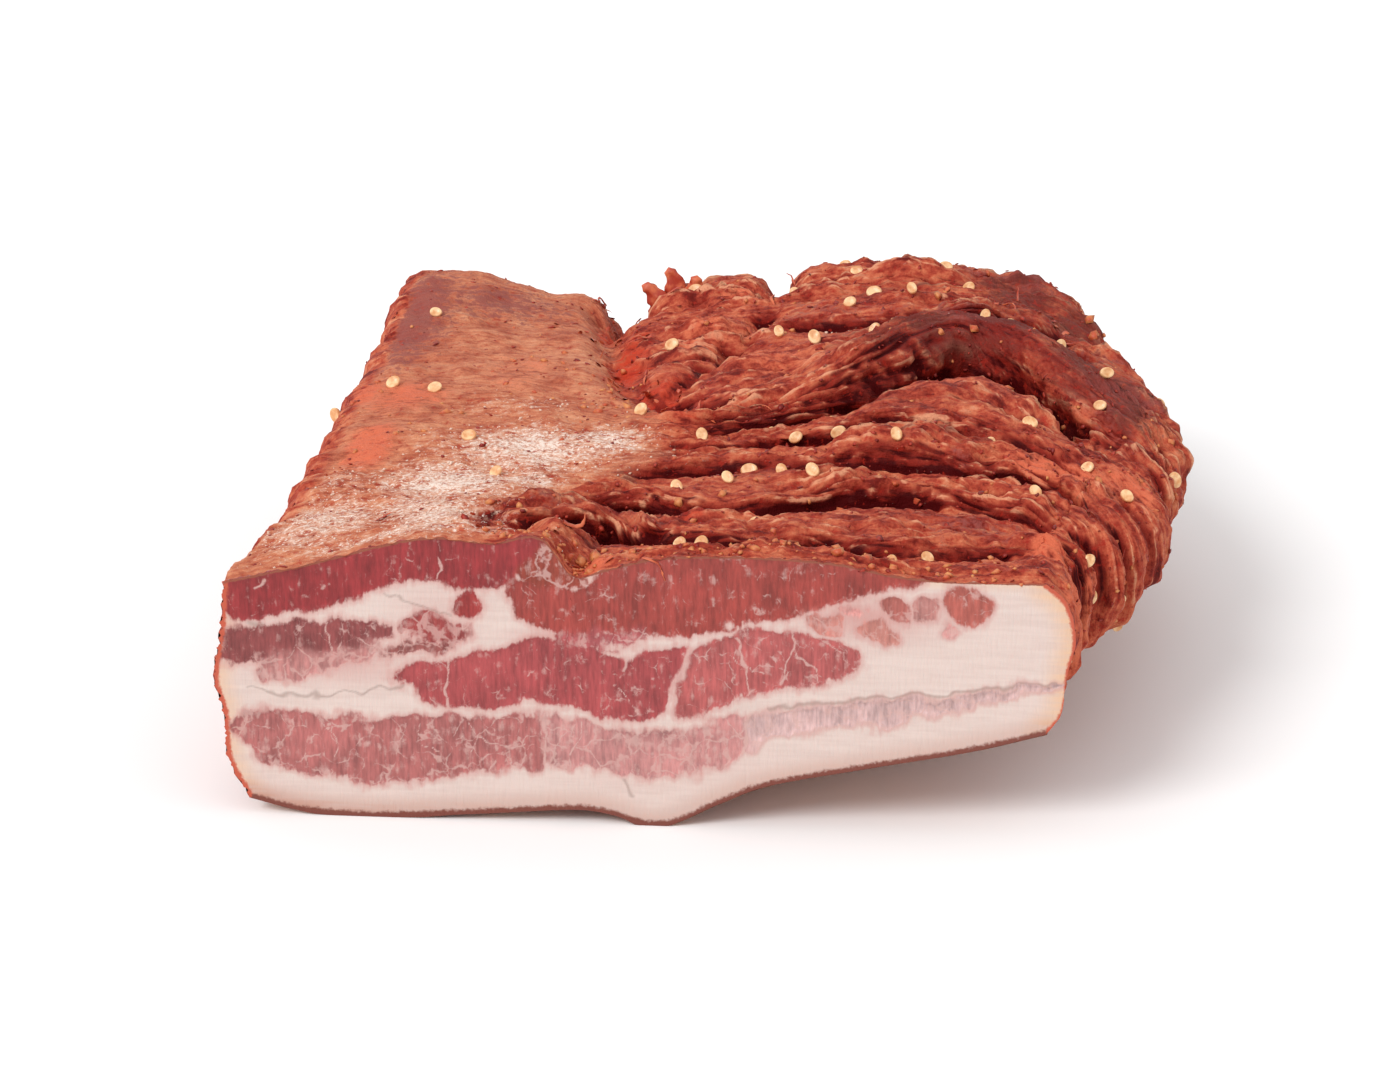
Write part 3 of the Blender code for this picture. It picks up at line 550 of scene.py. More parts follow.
def across_fold(fold, x, y):
    """Where a point lies across a fold, in widths of the fold behind its foot."""
    wander = WANDER * lumps(x, 0.0, 0.0, WANDER_LENGTH, fold["row"])
    return (y - along(fold["lip"], x) - wander) / fold["width"] + FOOT_TO_LIP


def fold_depth(x, y):
    """Depth of the folds and grooves: a fold has a steep wall behind its foot and a long slope before it."""
    total = np.zeros(np.broadcast(x, y).shape)
    for f in FOLDS:
        t = across_fold(f, x, y)
        profile = np.where(t > 0, np.exp(-((t / STEEP_SIDE) ** 2)), np.exp(-((t / LONG_SIDE) ** 2)))
        total = np.maximum(total, along(f["depth"], x) * profile)
    for g in GROOVES:
        total = np.maximum(total, g["depth"] * np.exp(-((line_distance(x, y, g["path"]) / g["half"]) ** 2)))
    return total


def fold_creases(x, y):
    """How deep the folds are creased at their feet, and how far the lips over them hang forwards."""
    crease = np.zeros(np.broadcast(x, y).shape)
    overhang = crease.copy()
    for f in FOLDS:
        t = across_fold(f, x, y)
        depth = along(f["depth"], x)
        crease = np.maximum(crease, CREASE_SHARE * depth * np.exp(-((t / CREASE_WIDTH) ** 2)))
        overhang = np.maximum(overhang, LIP_SHARE * depth * np.exp(-(((t - FOOT_TO_LIP) / LIP_WIDTH) ** 2)))
    return crease, overhang


def roll_height(x, y):
    """How far the smooth roll behind the deepest fold stands over the rest."""
    behind = y - along(FOLDS[ROLL_FOLD]["lip"], x)
    bulge = smooth_step(-4, 7, behind) * (1 - smooth_step(12, 40, behind))
    return ROLL_HEIGHT * bulge * smooth_step(*ROLL_LEFT, x) * (1 - smooth_step(*ROLL_RIGHT, x))


def end_line(x):
    """Where the uncut end stands, with its notches."""
    line = np.full(np.shape(x), SLAB_DEPTH)
    for middle, reach, half in END_NOTCHES:
        line = line - reach * np.exp(-(((x - middle) / half) ** 2))
    return line


def cornering(side, share):
    """1 at the two top corners, falling off quickly along the sides."""
    return {0: np.abs(2 * share - 1), 1: 1 - share, 2: 0 * share, 3: share}[side] ** 6


def way_out(side, share):
    """Which way the skin is pushed, in x and z: straight out of each side, aslant at the two top corners."""
    turn = math.pi / 4 * cornering(side, share)
    turned = np.sin(turn) if side == 0 else np.cos(turn)
    sign = {0: np.sign(2 * share - 1), 1: 1, 2: 0, 3: -1}[side]
    return sign * turned, np.cos(turn) if side == 0 else np.sin(turn)


def surface(side, share, depth):
    """The slab's skin as the solid has it: x, y and z in millimetres, then the row along the strips and how
    deep the furrow is there."""
    share, depth = np.broadcast_arrays(np.asarray(share, float), np.asarray(depth, float))
    row = depth * SLAB_DEPTH
    y = folded(row, flank_reach(*rear_section(side, share, row)))
    rear_x, rear_z = rear_section(side, share, y)
    cut_x, cut_z = cut_section(side, share)
    wide = smooth_step(0, BLEND_DEPTH, y)
    high = smooth_step(0, LIFT_DEPTH, y) if side in (1, 2) else wide
    x = cut_x + (rear_x - cut_x) * wide
    z = cut_z + (rear_z - cut_z) * high

    rise = smooth_step(14, 46, z)
    on_top = {0: 1.0, 1: rise, 2: 0.0, 3: 0.0}[side] * (1 - 0.45 * cornering(side, share))
    fade_in = 0.25 + 0.75 * smooth_step(0, 26, y)
    sunk = fold_depth(flank_reach(x, z), y) * on_top * fade_in
    above_rind = {0: 1.0, 1: smooth_step(1, 0.65, share), 2: 0.0, 3: smooth_step(0, 0.35, share)}[side]
    swell = roll_height(x, y) + 1.2 * lumps(x, y, z, 34, 3.7) + 1.2 * lumps(x, y, z, 15, 9.1)
    push = swell * smooth_step(0, 20, y) * above_rind - sunk
    out_x, out_z = way_out(side, share)
    x = x + push * out_x
    z = z + push * out_z

    from_end = np.clip((row - (SLAB_DEPTH - END_ROUNDING)) / END_ROUNDING, 0, 1)
    closing = END_HEIGHT + (1 - END_HEIGHT) * (1 - from_end**2.2) ** (1 / 2.2)
    x = x * (1 - END_NARROWING * (1 - closing))
    z = END_MIDDLE + (z - END_MIDDLE) * closing
    y = y + (end_line(x) - SLAB_DEPTH) * smooth_step(0.7, 1.0, depth) * smooth_step(4, END_MIDDLE, z)
    return x, y, z * smooth_step(0.0, 2 * FLAT_FOOT, z), row, sunk


def skin_frame(side, share, depth):
    """A point of the skin and the way out of it, for what is pressed into the rub."""
    step = 0.004
    middle, wider, deeper = (
        np.array([float(c) for c in surface(side, *at)[:3]])
        for at in ((share, depth), (share + step, depth), (share, depth + step))
    )
    out = np.cross(wider - middle, deeper - middle)
    return middle, out / np.linalg.norm(out)


def linear(text):
    """An sRGB hex colour as linear RGBA."""
    parts = [int(text[i:i + 2], 16) / 255 for i in (1, 3, 5)]
    return tuple(c / 12.92 if c <= 0.04045 else ((c + 0.055) / 1.055) ** 2.4 for c in parts) + (1.0,)


def spots(table, x, y):
    """The strongest of several soft oval spots at x and y."""
    total = np.zeros(np.broadcast(x, y).shape)
    for spot_x, spot_y, half_x, half_y, strength in table:
        away = ((x - spot_x) / half_x) ** 2 + ((y - spot_y) / half_y) ** 2
        total = np.maximum(total, strength * np.exp(-away))
    return total


def blurred(field, reach):
    """The field averaged over a window of about reach cells each way."""
    kernel = np.exp(-np.linspace(-2, 2, 2 * reach + 1) ** 2)
    kernel /= kernel.sum()
    for axis in (0, 1):
        padded = np.pad(field, [(reach, reach) if k == axis else (0, 0) for k in (0, 1)], mode="edge")
        field = np.apply_along_axis(lambda line: np.convolve(line, kernel, mode="valid"), axis, padded)
    return field


def ragged_edge(side, share):
    """How far the cut's edge strays outwards from its outline, where the crust frayed under the knife."""
    if side in (1, 2):
        return 0.25 * lumps(share * 70, side * 10.0, 0.0, 3.0, 2.3)
    coarse = lumps(share * 200, side * 10.0, 0.0, 3.2, 2.3)
    fine = lumps(share * 200, side * 10.0, 0.0, 1.4, 7.7)
    return 0.7 * coarse + 0.4 * fine


def skin_rows():
    """Shares of the depth for the skin's rows, closer at the front, where the eye is, and round the end."""
    even = np.linspace(0, 1, SKIN_ROWS - 14)
    body_end = 1 - END_ROUNDING / SLAB_DEPTH
    body = body_end * (0.8 * even + 0.2 * even**2)
    turn = np.sin(np.linspace(0, math.pi / 2, 15)[1:])
    return np.concatenate([body, body_end + (1 - body_end) * turn])


def skin_strips():
    """The smooth skin with its frayed front edge, and the share of top, rind and wall at each point."""
    rows = skin_rows()[:, None]
    runs = (
        (3, np.arange(LEFT_COLUMNS) / LEFT_COLUMNS), (0, np.arange(TOP_COLUMNS) / TOP_COLUMNS),
        (1, np.arange(RIGHT_COLUMNS) / RIGHT_COLUMNS), (2, np.arange(RIND_COLUMNS) / RIND_COLUMNS),
    )
    parts = []
    for side, share in runs:
        x, y, z, row, sunk = surface(side, share[None, :], rows)
        out_x, out_z = way_out(side, share[None, :] + 0 * rows)
        stray = ragged_edge(side, share)[None, :] * smooth_step(14, 0, row)
        top = {0: 1.0, 1: smooth_step(1.0, 0.2, share), 2: 0.0, 3: 0.0}[side] + 0 * x
        rind = {0: 0.0, 1: smooth_step(0.86, 1, share), 2: 1.0, 3: smooth_step(0.16, 0, share)}[side] + 0 * x
        parts.append(np.stack([x + stray * out_x, y, z + stray * out_z, row, sunk, top, rind]))
    return np.concatenate(parts, axis=2)


def skin_grid():
    """The whole skin as one closed grid of rows and columns, with its fine relief and the fields that colour
    it. The relief runs with the folds: rounded strands with sharp creases between them on the furrowed side,
    and low lumps on the smooth flank plate and the roll."""
    x, y, z, row, sunk, top, rind = skin_strips()
    place = np.stack([x, y, z], -1)
    wrapped = np.concatenate([place[:, -1:], place, place[:, :1]], axis=1)
    out = np.cross((wrapped[:, 2:] - wrapped[:, :-2]) / 2, np.gradient(place, axis=0))
    out /= np.maximum(np.linalg.norm(out, axis=2, keepdims=True), 1e-9)

    reach = flank_reach(x, z)
    edge = x - along(PLATE_EDGE, y) + 6 * lumps(x, y, z, 14, 1.1) + 3 * lumps(x, y, z, 5, 2.1)
    plate = top * (1 - smooth_step(-7, 4, edge))
    roll = np.clip(roll_height(x, y) / ROLL_HEIGHT, 0, 1) * top
    strips = top * (1 - plate)
    walls = (1 - top) * (1 - rind)
    drifted = row + 3.0 * lumps(x, y, z, 18, 12.4)
    strands = sum(
        height * (np.abs(lumps(reach, drifted, 0.0, size, 4.2 + size, (length, 1, 1))) - 0.2)
        for size, length, height in STRANDS
    )
    folding = top * smooth_step(14, 46, z) * smooth_step(0, 12, y) * (1 - 0.35 * smooth_step(90, 112, x))
    creases, overhang = np.array(fold_creases(reach, y)) * folding
    coarse, medium, fine = lumps(x, y, z, 9, 5.5), lumps(x, y, z, 3.8, 15.5), lumps(x, y, z, 1.8, 25.5)
    rough = 0.55 + 0.9 * smooth_step(-0.3, 0.35, lumps(x, y, z, 30, 8.8))
    relief = (
        strips * (1 - 0.7 * roll) * rough * (strands + 1.2 * coarse + 1.1 * medium)
        + strips * 0.6 * fine - creases
        + plate * (0.8 * coarse + 0.45 * medium + 0.3 * fine)
        + walls * (0.45 * strands + 1.0 * coarse + 0.8 * medium + 0.35 * fine)
        + rind * (0.4 * coarse + 0.12 * medium - 0.3)
    )
    relief = relief * smooth_step(0, 7, row) * smooth_step(SLAB_DEPTH, SLAB_DEPTH - 2.0, row)
    place = place + out * relief[:, :, None]
    place[:, :, 1] -= overhang * smooth_step(8, 24, row)
    place[:, :, 2] = np.maximum(place[:, :, 2], 0.0)

    # Painted shade: creases, cavities, walls facing the camera and deep pockets are darkened in colour
    height = relief - sunk
    near, wide = blurred(height, 3) - height, blurred(height, 9) - height
    facing = smooth_step(0.1, 0.42, -out[..., 1]) * (1 - 0.7 * plate) * smooth_step(3, 14, row) * top
    facing = facing * (0.55 + 0.45 * smooth_step(1, 5, sunk)) * (1 - 0.45 * smooth_step(88, 112, x))
    red = spots(RED, x, y) * top
    dip = 0.45 * near + 0.18 * wide
    painted_shade = np.clip(0.9 * dip + facing + 0.4 * spots(SHADED_POCKETS, x, y) * top, 0, 1.5)
    fields = {
        "painted_shade": painted_shade * (1 - 0.5 * red) * (1 - 0.55 * walls),
        # Painted highlight: convex ridge crests made paler, in the tan of dried meat
        "ridge_highlight": np.clip(-1.4 * near, 0, 1),
        "plate": plate * smooth_step(SLAB_DEPTH, SLAB_DEPTH - 18, row),
        "strips": strips,
        "wall": walls,
        "bloom": spots(BLOOM, x, y) * top,
        "orange": spots(ORANGE, x, y) * np.maximum(top, walls),
        "plum": spots(PLUM, x, y) * np.maximum(top, 0.3 * walls),
        "red": red,
        "wine": spots(WINE, x, y) * top,
        "grain_across": reach,
        "grain_along": row,
    }
    return place, fields


def to_row(point):
    """A point of the drawing, in millimetres, as metres in the row frame."""
    return (np.asarray(point, float) - (ORIGIN_X, ORIGIN_Y, 0.0)) * MM


def grid_faces(rows, columns):
    """Quads of an open grid."""
    first = np.arange(rows - 1)[:, None] * columns + np.arange(columns - 1)[None, :]
    return np.stack([first, first + 1, first + columns + 1, first + columns], -1).reshape(-1, 4)


def tube_faces(first, rings, sides):
    """Quads of an open tube whose rings of points follow each other from the first point on."""
    k = np.arange(sides)
    j = (k + 1) % sides
    rows = [
        np.stack([low + k, low + j, low + sides + j, low + sides + k], 1)
        for low in first + sides * np.arange(rings - 1)
    ]
    return np.concatenate(rows)


def make_mesh(name, points, faces, fields=None, colours=None, smooth=True):
    """A mesh object from points in the drawing, with a number or a colour at each point for each field."""
    mesh = bpy.data.meshes.new(name)
    mesh.vertices.add(len(points))
    mesh.vertices.foreach_set("co", to_row(points).astype(np.float32).ravel())
    faces = np.asarray(faces)
    mesh.loops.add(faces.size)
    mesh.loops.foreach_set("vertex_index", faces.astype(np.int32).ravel())
    mesh.polygons.add(len(faces))
    mesh.polygons.foreach_set("loop_start", np.arange(0, faces.size, faces.shape[1], dtype=np.int32))
    mesh.update(calc_edges=True)
    mesh.validate()
    for kind, slot, values_of in (("FLOAT", "value", fields), ("FLOAT_COLOR", "color", colours)):
        for field, values in (values_of or {}).items():
            data = mesh.attributes.new(field, kind, "POINT").data
            data.foreach_set(slot, np.asarray(values, np.float32).ravel())
    if smooth:
        mesh.shade_smooth()
    made = bpy.data.objects.new(name, mesh)
    bpy.context.scene.collection.objects.link(made)
    return made


def finish_piece(piece, material):
    """Gives a piece its material, ties it to the part's body and lets it stand for the solid."""
    piece.data.materials.append(material)
    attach(piece, "root")
    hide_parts("pancetta")


def crust_samples(names):
    """The points of the crust in the drawing, the way out at each, and its named fields and area."""
    mesh = bpy.data.objects["crust"].data
    count = len(mesh.vertices)
    points, normals, areas = np.empty(3 * count), np.empty(3 * count), np.zeros(count)
    mesh.vertices.foreach_get("co", points)
    mesh.vertices.foreach_get("normal", normals)
    corners, size = np.empty(len(mesh.loops), np.int32), np.empty(len(mesh.polygons))
    mesh.loops.foreach_get("vertex_index", corners)
    mesh.polygons.foreach_get("area", size)
    np.add.at(areas, corners, np.repeat(size, 4) / 4)
    fields = {"area": areas}
    for name in names:
        fields[name] = np.empty(count)
        mesh.attributes[name].data.foreach_get("value", fields[name])
    return points.reshape(-1, 3) / MM + (ORIGIN_X, ORIGIN_Y, 0.0), normals.reshape(-1, 3), fields


def add(tree, kind, inputs=None, out=0, ramp=None, **settings):
    """Adds a shader node with its settings and links, and returns one of its outputs."""
    made = tree.nodes.new("ShaderNode" + kind)
    for name, value in settings.items():
        setattr(made, name, value)
    for name, value in (inputs or {}).items():
        if isinstance(value, bpy.types.NodeSocket):
            tree.links.new(value, made.inputs[name])
        else:
            made.inputs[name].default_value = value
    for index, (position, colour) in enumerate(ramp or ()):
        stops = made.color_ramp.elements
        stop = stops[index] if index < len(stops) else stops.new(position)
        stop.position = position
        stop.color = colour
    return made.outputs[out]


def new_material(name, constants):
    """An empty material with constants on its shader, and the place in millimetres for its patterns."""
    material = bpy.data.materials.new(name)
    material.use_nodes = True
    tree = material.node_tree
    shader = tree.nodes["Principled BSDF"].inputs
    for socket, value in constants.items():
        shader[socket].default_value = value
    place = add(tree, "TexCoord", out="Object")
    place = add(tree, "VectorMath", {0: place, "Scale": 1 / MM}, operation="SCALE")
    return material, tree, shader, place


def crust_material(looks):
    """Air-dried meat rubbed with chilli and salt: moist in the hollows, dull and granular where it is
    dusted, with painted shade darkening the hollows and the fold walls that face the camera, and a
    painted highlight on the ridge crests. Pattern sizes are those of the rub's grit (1 mm), its crumbs
    (2.6 mm), the meat's strands (1.5 mm wide and 9 mm long) and its mottling (11 mm)."""
    material, tree, shader, place = new_material("chilli_rubbed_crust", {"IOR": 1.42})
    mottle, crumb, grit = [
        add(tree, "TexNoise", {"Vector": place, "Scale": 1 / size, "Detail": 4, "Roughness": 0.65})
        for size in (11, 2.6, 1.0)
    ]
    kept = {
        name: add(tree, "Attribute", out="Fac", attribute_name=name)
        for name in (
            "painted_shade", "ridge_highlight", "plate", "bloom", "orange", "plum", "wine", "red", "grain_across",
            "grain_along",
        )
    }
    grain = add(tree, "CombineXYZ", {0: kept["grain_across"], 1: kept["grain_along"]})
    grain = add(tree, "Mapping", {"Vector": grain, "Scale": (1 / 9, 1 / 1.5, 1.0)})
    strand = add(tree, "TexNoise", {"Vector": grain, "Scale": 1.0, "Detail": 4, "Roughness": 0.6})
    tone = add(tree, "Math", {0: mottle, 1: 0.42, 2: -0.01}, operation="MULTIPLY_ADD")
    tone = add(tree, "Math", {0: crumb, 1: 0.28, 2: tone}, operation="MULTIPLY_ADD")
    tone = add(tree, "Math", {0: strand, 1: 0.32, 2: tone}, operation="MULTIPLY_ADD")
    furrowed = add(tree, "ValToRGB", {0: tone}, ramp=(
        (0.34, looks.deep_colour), (0.42, looks.dark_colour), (0.49, looks.crust_colour),
        (0.56, looks.ridge_colour), (0.68, looks.tan_colour),
    ))
    smooth = add(tree, "ValToRGB", {0: tone}, ramp=(
        (0.38, looks.plate_dark_colour), (0.47, looks.plate_colour), (0.56, looks.plate_pale_colour),
        (0.68, looks.plate_tan_colour),
    ))
    base = add(tree, "Mix", {0: kept["plate"], 6: furrowed, 7: smooth}, out=2, data_type="RGBA")

    # Each layer: where it is, how much that counts, the noise that breaks it up, from which sum of both it
    # starts and is full, how much of it there is at most, and its colour
    layers = (
        # Painted highlight on the ridge crests, in the tan of dried meat
        (kept["ridge_highlight"], 0.30, strand, 0.66, 0.84, 0.75, looks.tan_colour),
        (kept["plum"], 0.45, crumb, 0.62, 0.84, 0.85, looks.plum_colour),
        (kept["wine"], 0.45, strand, 0.62, 0.86, 0.88, looks.wine_colour),
        (kept["orange"], 0.40, tone, 0.66, 0.84, 0.90, looks.orange_colour),
        (kept["red"], 0.50, strand, 0.68, 0.92, 0.92, looks.red_colour),
        # Painted shade: the camera-facing fold walls and the hollows turn dark red and wine red
        (kept["painted_shade"], 0.55, tone, 0.62, 0.84, 0.92, looks.painted_wall_shade_colour),
        (kept["painted_shade"], 0.50, strand, 0.74, 0.98, 0.97, looks.painted_hollow_shade_colour),
        (kept["bloom"], 0.42, crumb, 0.68, 0.90, 0.60, looks.bloom_colour),
        (kept["bloom"], 0.30, crumb, 0.78, 0.92, 0.55, looks.salt_colour),
        (kept["bloom"], 0.26, grit, 0.72, 0.80, 0.90, looks.salt_colour),
    )
    for spread, gain, broken, start, full, most, colour in layers:
        share = add(tree, "Math", {0: spread, 1: gain, 2: broken}, operation="MULTIPLY_ADD")
        share = add(tree, "MapRange", {
            "Value": share, "From Min": start, "From Max": full, "To Max": most,
        }, interpolation_type="SMOOTHSTEP")
        base = add(tree, "Mix", {0: share, 6: base, 7: colour}, out=2, data_type="RGBA")

    # Grit: dark specks everywhere, and red chilli specks on the furrowed side
    for value, start, full, most, colour in (
        (grit, 0.39, 0.28, 0.55, looks.deep_colour), (crumb, 0.41, 0.33, 0.55, looks.flake_colour),
    ):
        share = add(tree, "MapRange", {
            "Value": value, "From Min": start, "From Max": full, "To Max": most,
        }, interpolation_type="SMOOTHSTEP")
        base = add(tree, "Mix", {0: share, 6: base, 7: colour}, out=2, data_type="RGBA")
    tree.links.new(base, shader["Base Color"])

    tree.links.new(add(tree, "MapRange", {
        "Value": kept["painted_shade"], "To Min": 0.22, "To Max": 0.02,
    }), shader["Specular IOR Level"])
    dry = add(tree, "Math", {0: grit, 1: kept["painted_shade"]}, operation="SUBTRACT")
    dry = add(tree, "Math", {0: dry, 1: kept["bloom"]}, operation="ADD")
    tree.links.new(add(tree, "MapRange", {
        "Value": dry, "From Min": -0.4, "From Max": 0.9, "To Min": 0.42, "To Max": 0.8,
    }), shader["Roughness"])
    height = add(tree, "Math", {0: crumb, 1: 0.9}, operation="MULTIPLY")
    height = add(tree, "Math", {0: grit, 1: 0.5, 2: height}, operation="MULTIPLY_ADD")
    height = add(tree, "Math", {0: strand, 1: 0.5, 2: height}, operation="MULTIPLY_ADD")
    bump = add(tree, "Bump", {"Height": height, "Strength": 0.9, "Distance": 0.0011})
    tree.links.new(bump, shader["Normal"])
    return material


def rind_material(looks):
    """Dried pork rind: tan, leathery skin with fine creases about 3 mm apart and pores under 1 mm."""
    material, tree, shader, place = new_material("dried_rind", {"IOR": 1.44, "Roughness": 0.5})
    mottle = add(tree, "TexNoise", {"Vector": place, "Scale": 1 / 22, "Detail": 5, "Roughness": 0.6})
    pores = add(tree, "TexNoise", {"Vector": place, "Scale": 1 / 0.9, "Detail": 3, "Roughness": 0.6})
    creases = add(tree, "TexVoronoi", {"Vector": place, "Scale": 1 / 3.2}, feature="DISTANCE_TO_EDGE")
    base = add(tree, "ValToRGB", {0: mottle}, ramp=(
        (0.32, looks.dark_colour), (0.5, looks.rind_colour), (0.68, looks.pale_colour),
    ))
    for value, start, full, most in ((creases, 0.10, 0.0, 0.35), (pores, 0.38, 0.28, 0.6)):
        share = add(tree, "MapRange", {
            "Value": value, "From Min": start, "From Max": full, "To Max": most,
        }, interpolation_type="SMOOTHSTEP")
        base = add(tree, "Mix", {0: share, 6: base, 7: looks.dark_colour}, out=2, data_type="RGBA")
    tree.links.new(base, shader["Base Color"])
    raised = add(tree, "MapRange", {"Value": creases, "From Max": 0.14}, interpolation_type="SMOOTHSTEP")
    height = add(tree, "Math", {0: pores, 1: 0.5, 2: raised}, operation="MULTIPLY_ADD")
    bump = add(tree, "Bump", {"Height": height, "Strength": 0.5, "Distance": 0.0006})
    tree.links.new(bump, shader["Normal"])
    return material


def cut_material(looks):
    """Cured belly cut with a knife: translucent white fat and red lean, smooth and slightly greasy. Marbling
    is a net of thin fat with cells of 6.5 mm and specks of 1.1 mm, muscle fibres are 0.8 mm wide and stand
    upright, and the layers' edges stray by about 1.3 mm."""
    material, tree, shader, place = new_material("cut_cured_belly", {
        "IOR": 1.44, "Specular IOR Level": 0.4, "Subsurface Weight": 0.12, "Subsurface Scale": 0.0025,
        "Subsurface Radius": (1.0, 0.45, 0.35),
    })
    drift, small, slow = [
        add(tree, "TexNoise", {"Vector": place, "Scale": 1 / size, "Detail": 4, "Roughness": 0.62})
        for size in (3.4, 1.1, 9)
    ]
    comb, fibre, streak = [
        add(tree, "TexNoise", {
            "Vector": add(tree, "Mapping", {"Vector": place, "Scale": stretch}),
            "Scale": 1 / size, "Detail": 3,
        })
        for stretch, size in (((1, 1, 0.25), 1.2), ((1, 1, 0.16), 0.8), ((0.1, 1, 1), 1.1))
    ]
    kept = {
        name: add(tree, "Attribute", out="Fac", attribute_name=name)
        for name in ("lean", "marbling", "haze", "vein", "line", "rim")
    }
    lean_colour, fat_colour, rim_colour = [
        add(tree, "Attribute", out="Color", attribute_name=name)
        for name in ("lean_colour", "fat_colour", "rim_colour")
    ]

    # The edge between lean and fat strays with three sizes of noise, the finest of them drawn upright
    edge = kept["lean"]
    for noise_value, strength in ((drift, 2.4), (comb, 2.6), (small, 0.9)):
        edge = add(tree, "Math", {0: noise_value, 1: strength, 2: edge}, operation="MULTIPLY_ADD")
    lean = add(tree, "MapRange", {
        "Value": edge, "From Min": 1.85, "From Max": 2.85,
    }, interpolation_type="SMOOTHSTEP")
    fringe = add(tree, "MapRange", {
        "Value": edge, "From Min": 0.2, "From Max": 2.3, "To Max": 0.7,
    }, interpolation_type="SMOOTHSTEP")

    # Flecks of fat in the lean, more where it is marbled, and the veins
    fleck = add(tree, "Math", {0: drift, 1: 0.6}, operation="MULTIPLY")
    fleck = add(tree, "Math", {0: comb, 1: 0.4, 2: fleck}, operation="MULTIPLY_ADD")
    fleck = add(tree, "Math", {0: kept["marbling"], 1: 0.13, 2: fleck}, operation="MULTIPLY_ADD")
    fleck = add(tree, "MapRange", {
        "Value": fleck, "From Min": 0.56, "From Max": 0.72, "To Max": 0.6,
    }, interpolation_type="SMOOTHSTEP")
    bent = add(tree, "TexNoise", {"Vector": place, "Scale": 1 / 5, "Detail": 3}, out="Color")
    bent = add(tree, "VectorMath", {0: bent, 1: (7, 7, 7), 2: place}, operation="MULTIPLY_ADD")
    net = add(tree, "TexVoronoi", {"Vector": bent, "Scale": 1 / 6.5}, feature="DISTANCE_TO_EDGE")
    net = add(tree, "Math", {0: net, 1: -6.0, 2: 0.1}, operation="MULTIPLY_ADD")
    net = add(tree, "Math", {0: kept["marbling"], 1: 0.9, 2: net}, operation="MULTIPLY_ADD")
    net = add(tree, "Math", {0: drift, 1: 2.2, 2: net}, operation="MULTIPLY_ADD")
    net = add(tree, "MapRange", {
        "Value": net, "From Min": 1.3, "From Max": 1.75, "To Max": 0.7,
    }, interpolation_type="SMOOTHSTEP")
    vein = add(tree, "Math", {0: small, 1: kept["vein"]}, operation="ADD")
    vein = add(tree, "MapRange", {
        "Value": vein, "From Min": 0.8, "From Max": 1.4, "To Max": 0.8,
    }, interpolation_type="SMOOTHSTEP")
    white = add(tree, "Math", {0: fleck, 1: vein}, operation="MAXIMUM")
    white = add(tree, "Math", {0: white, 1: net}, operation="MAXIMUM")
    bare = add(tree, "Math", {0: 1.0, 1: white}, operation="SUBTRACT")
    lean = add(tree, "Math", {0: lean, 1: bare}, operation="MULTIPLY")

    blotch = add(tree, "Math", {0: fibre, 1: 0.5}, operation="MULTIPLY")
    blotch = add(tree, "Math", {0: slow, 1: 0.5, 2: blotch}, operation="MULTIPLY_ADD")
    blotch = add(tree, "MapRange", {
        "Value": blotch, "From Min": 0.36, "From Max": 0.64, "To Min": 0.68, "To Max": 1.3,
    })
    meat = add(tree, "HueSaturation", {"Color": lean_colour, "Value": blotch})

    # The fat: faint layers, pink where there is fine lean in it, and thin grey membranes
    fat = fat_colour
    for value, start, full, most, colour in (
        (streak, 0.38, 0.66, 0.45, looks.fat_shade_colour),
        (kept["haze"], 0.05, 1.0, 0.85, looks.haze_colour),
        (fringe, 0.0, 1.0, 1.0, looks.fringe_colour),
        (kept["line"], 0.15, 1.0, 0.6, looks.membrane_colour),
    ):
        share = add(tree, "MapRange", {"Value": value, "From Min": start, "From Max": full, "To Max": most})
        fat = add(tree, "Mix", {0: share, 6: fat, 7: colour}, out=2, data_type="RGBA")
    base = add(tree, "Mix", {0: lean, 6: fat, 7: meat}, out=2, data_type="RGBA")

    rim = add(tree, "Math", {0: small, 1: 1.4, 2: kept["rim"]}, operation="MULTIPLY_ADD")
    rim = add(tree, "MapRange", {
        "Value": rim, "From Min": 2.0, "From Max": 1.3,
    }, interpolation_type="SMOOTHSTEP")
    base = add(tree, "Mix", {0: rim, 6: base, 7: rim_colour}, out=2, data_type="RGBA")
    tree.links.new(base, shader["Base Color"])
    tree.links.new(add(tree, "MapRange", {
        "Value": lean, "To Min": 0.42, "To Max": 0.36,
    }), shader["Roughness"])
    height = add(tree, "Math", {0: lean, 1: -0.35, 2: fibre}, operation="MULTIPLY_ADD")
    bump = add(tree, "Bump", {"Height": height, "Strength": 0.35, "Distance": 0.0006})
    tree.links.new(bump, shader["Normal"])
    return material


def mottled_material(name, first, second, size, constants):
    """A small dried thing: one colour mottled by another over the given size in millimetres."""
    material, tree, shader, place = new_material(name, constants)
    mottle = add(tree, "TexNoise", {"Vector": place, "Scale": 1 / size, "Detail": 3})
    share = add(tree, "MapRange", {"Value": mottle, "From Min": 0.38, "From Max": 0.62})
    base = add(tree, "Mix", {0: share, 6: first, 7: second}, out=2, data_type="RGBA")
    tree.links.new(base, shader["Base Color"])
    return material


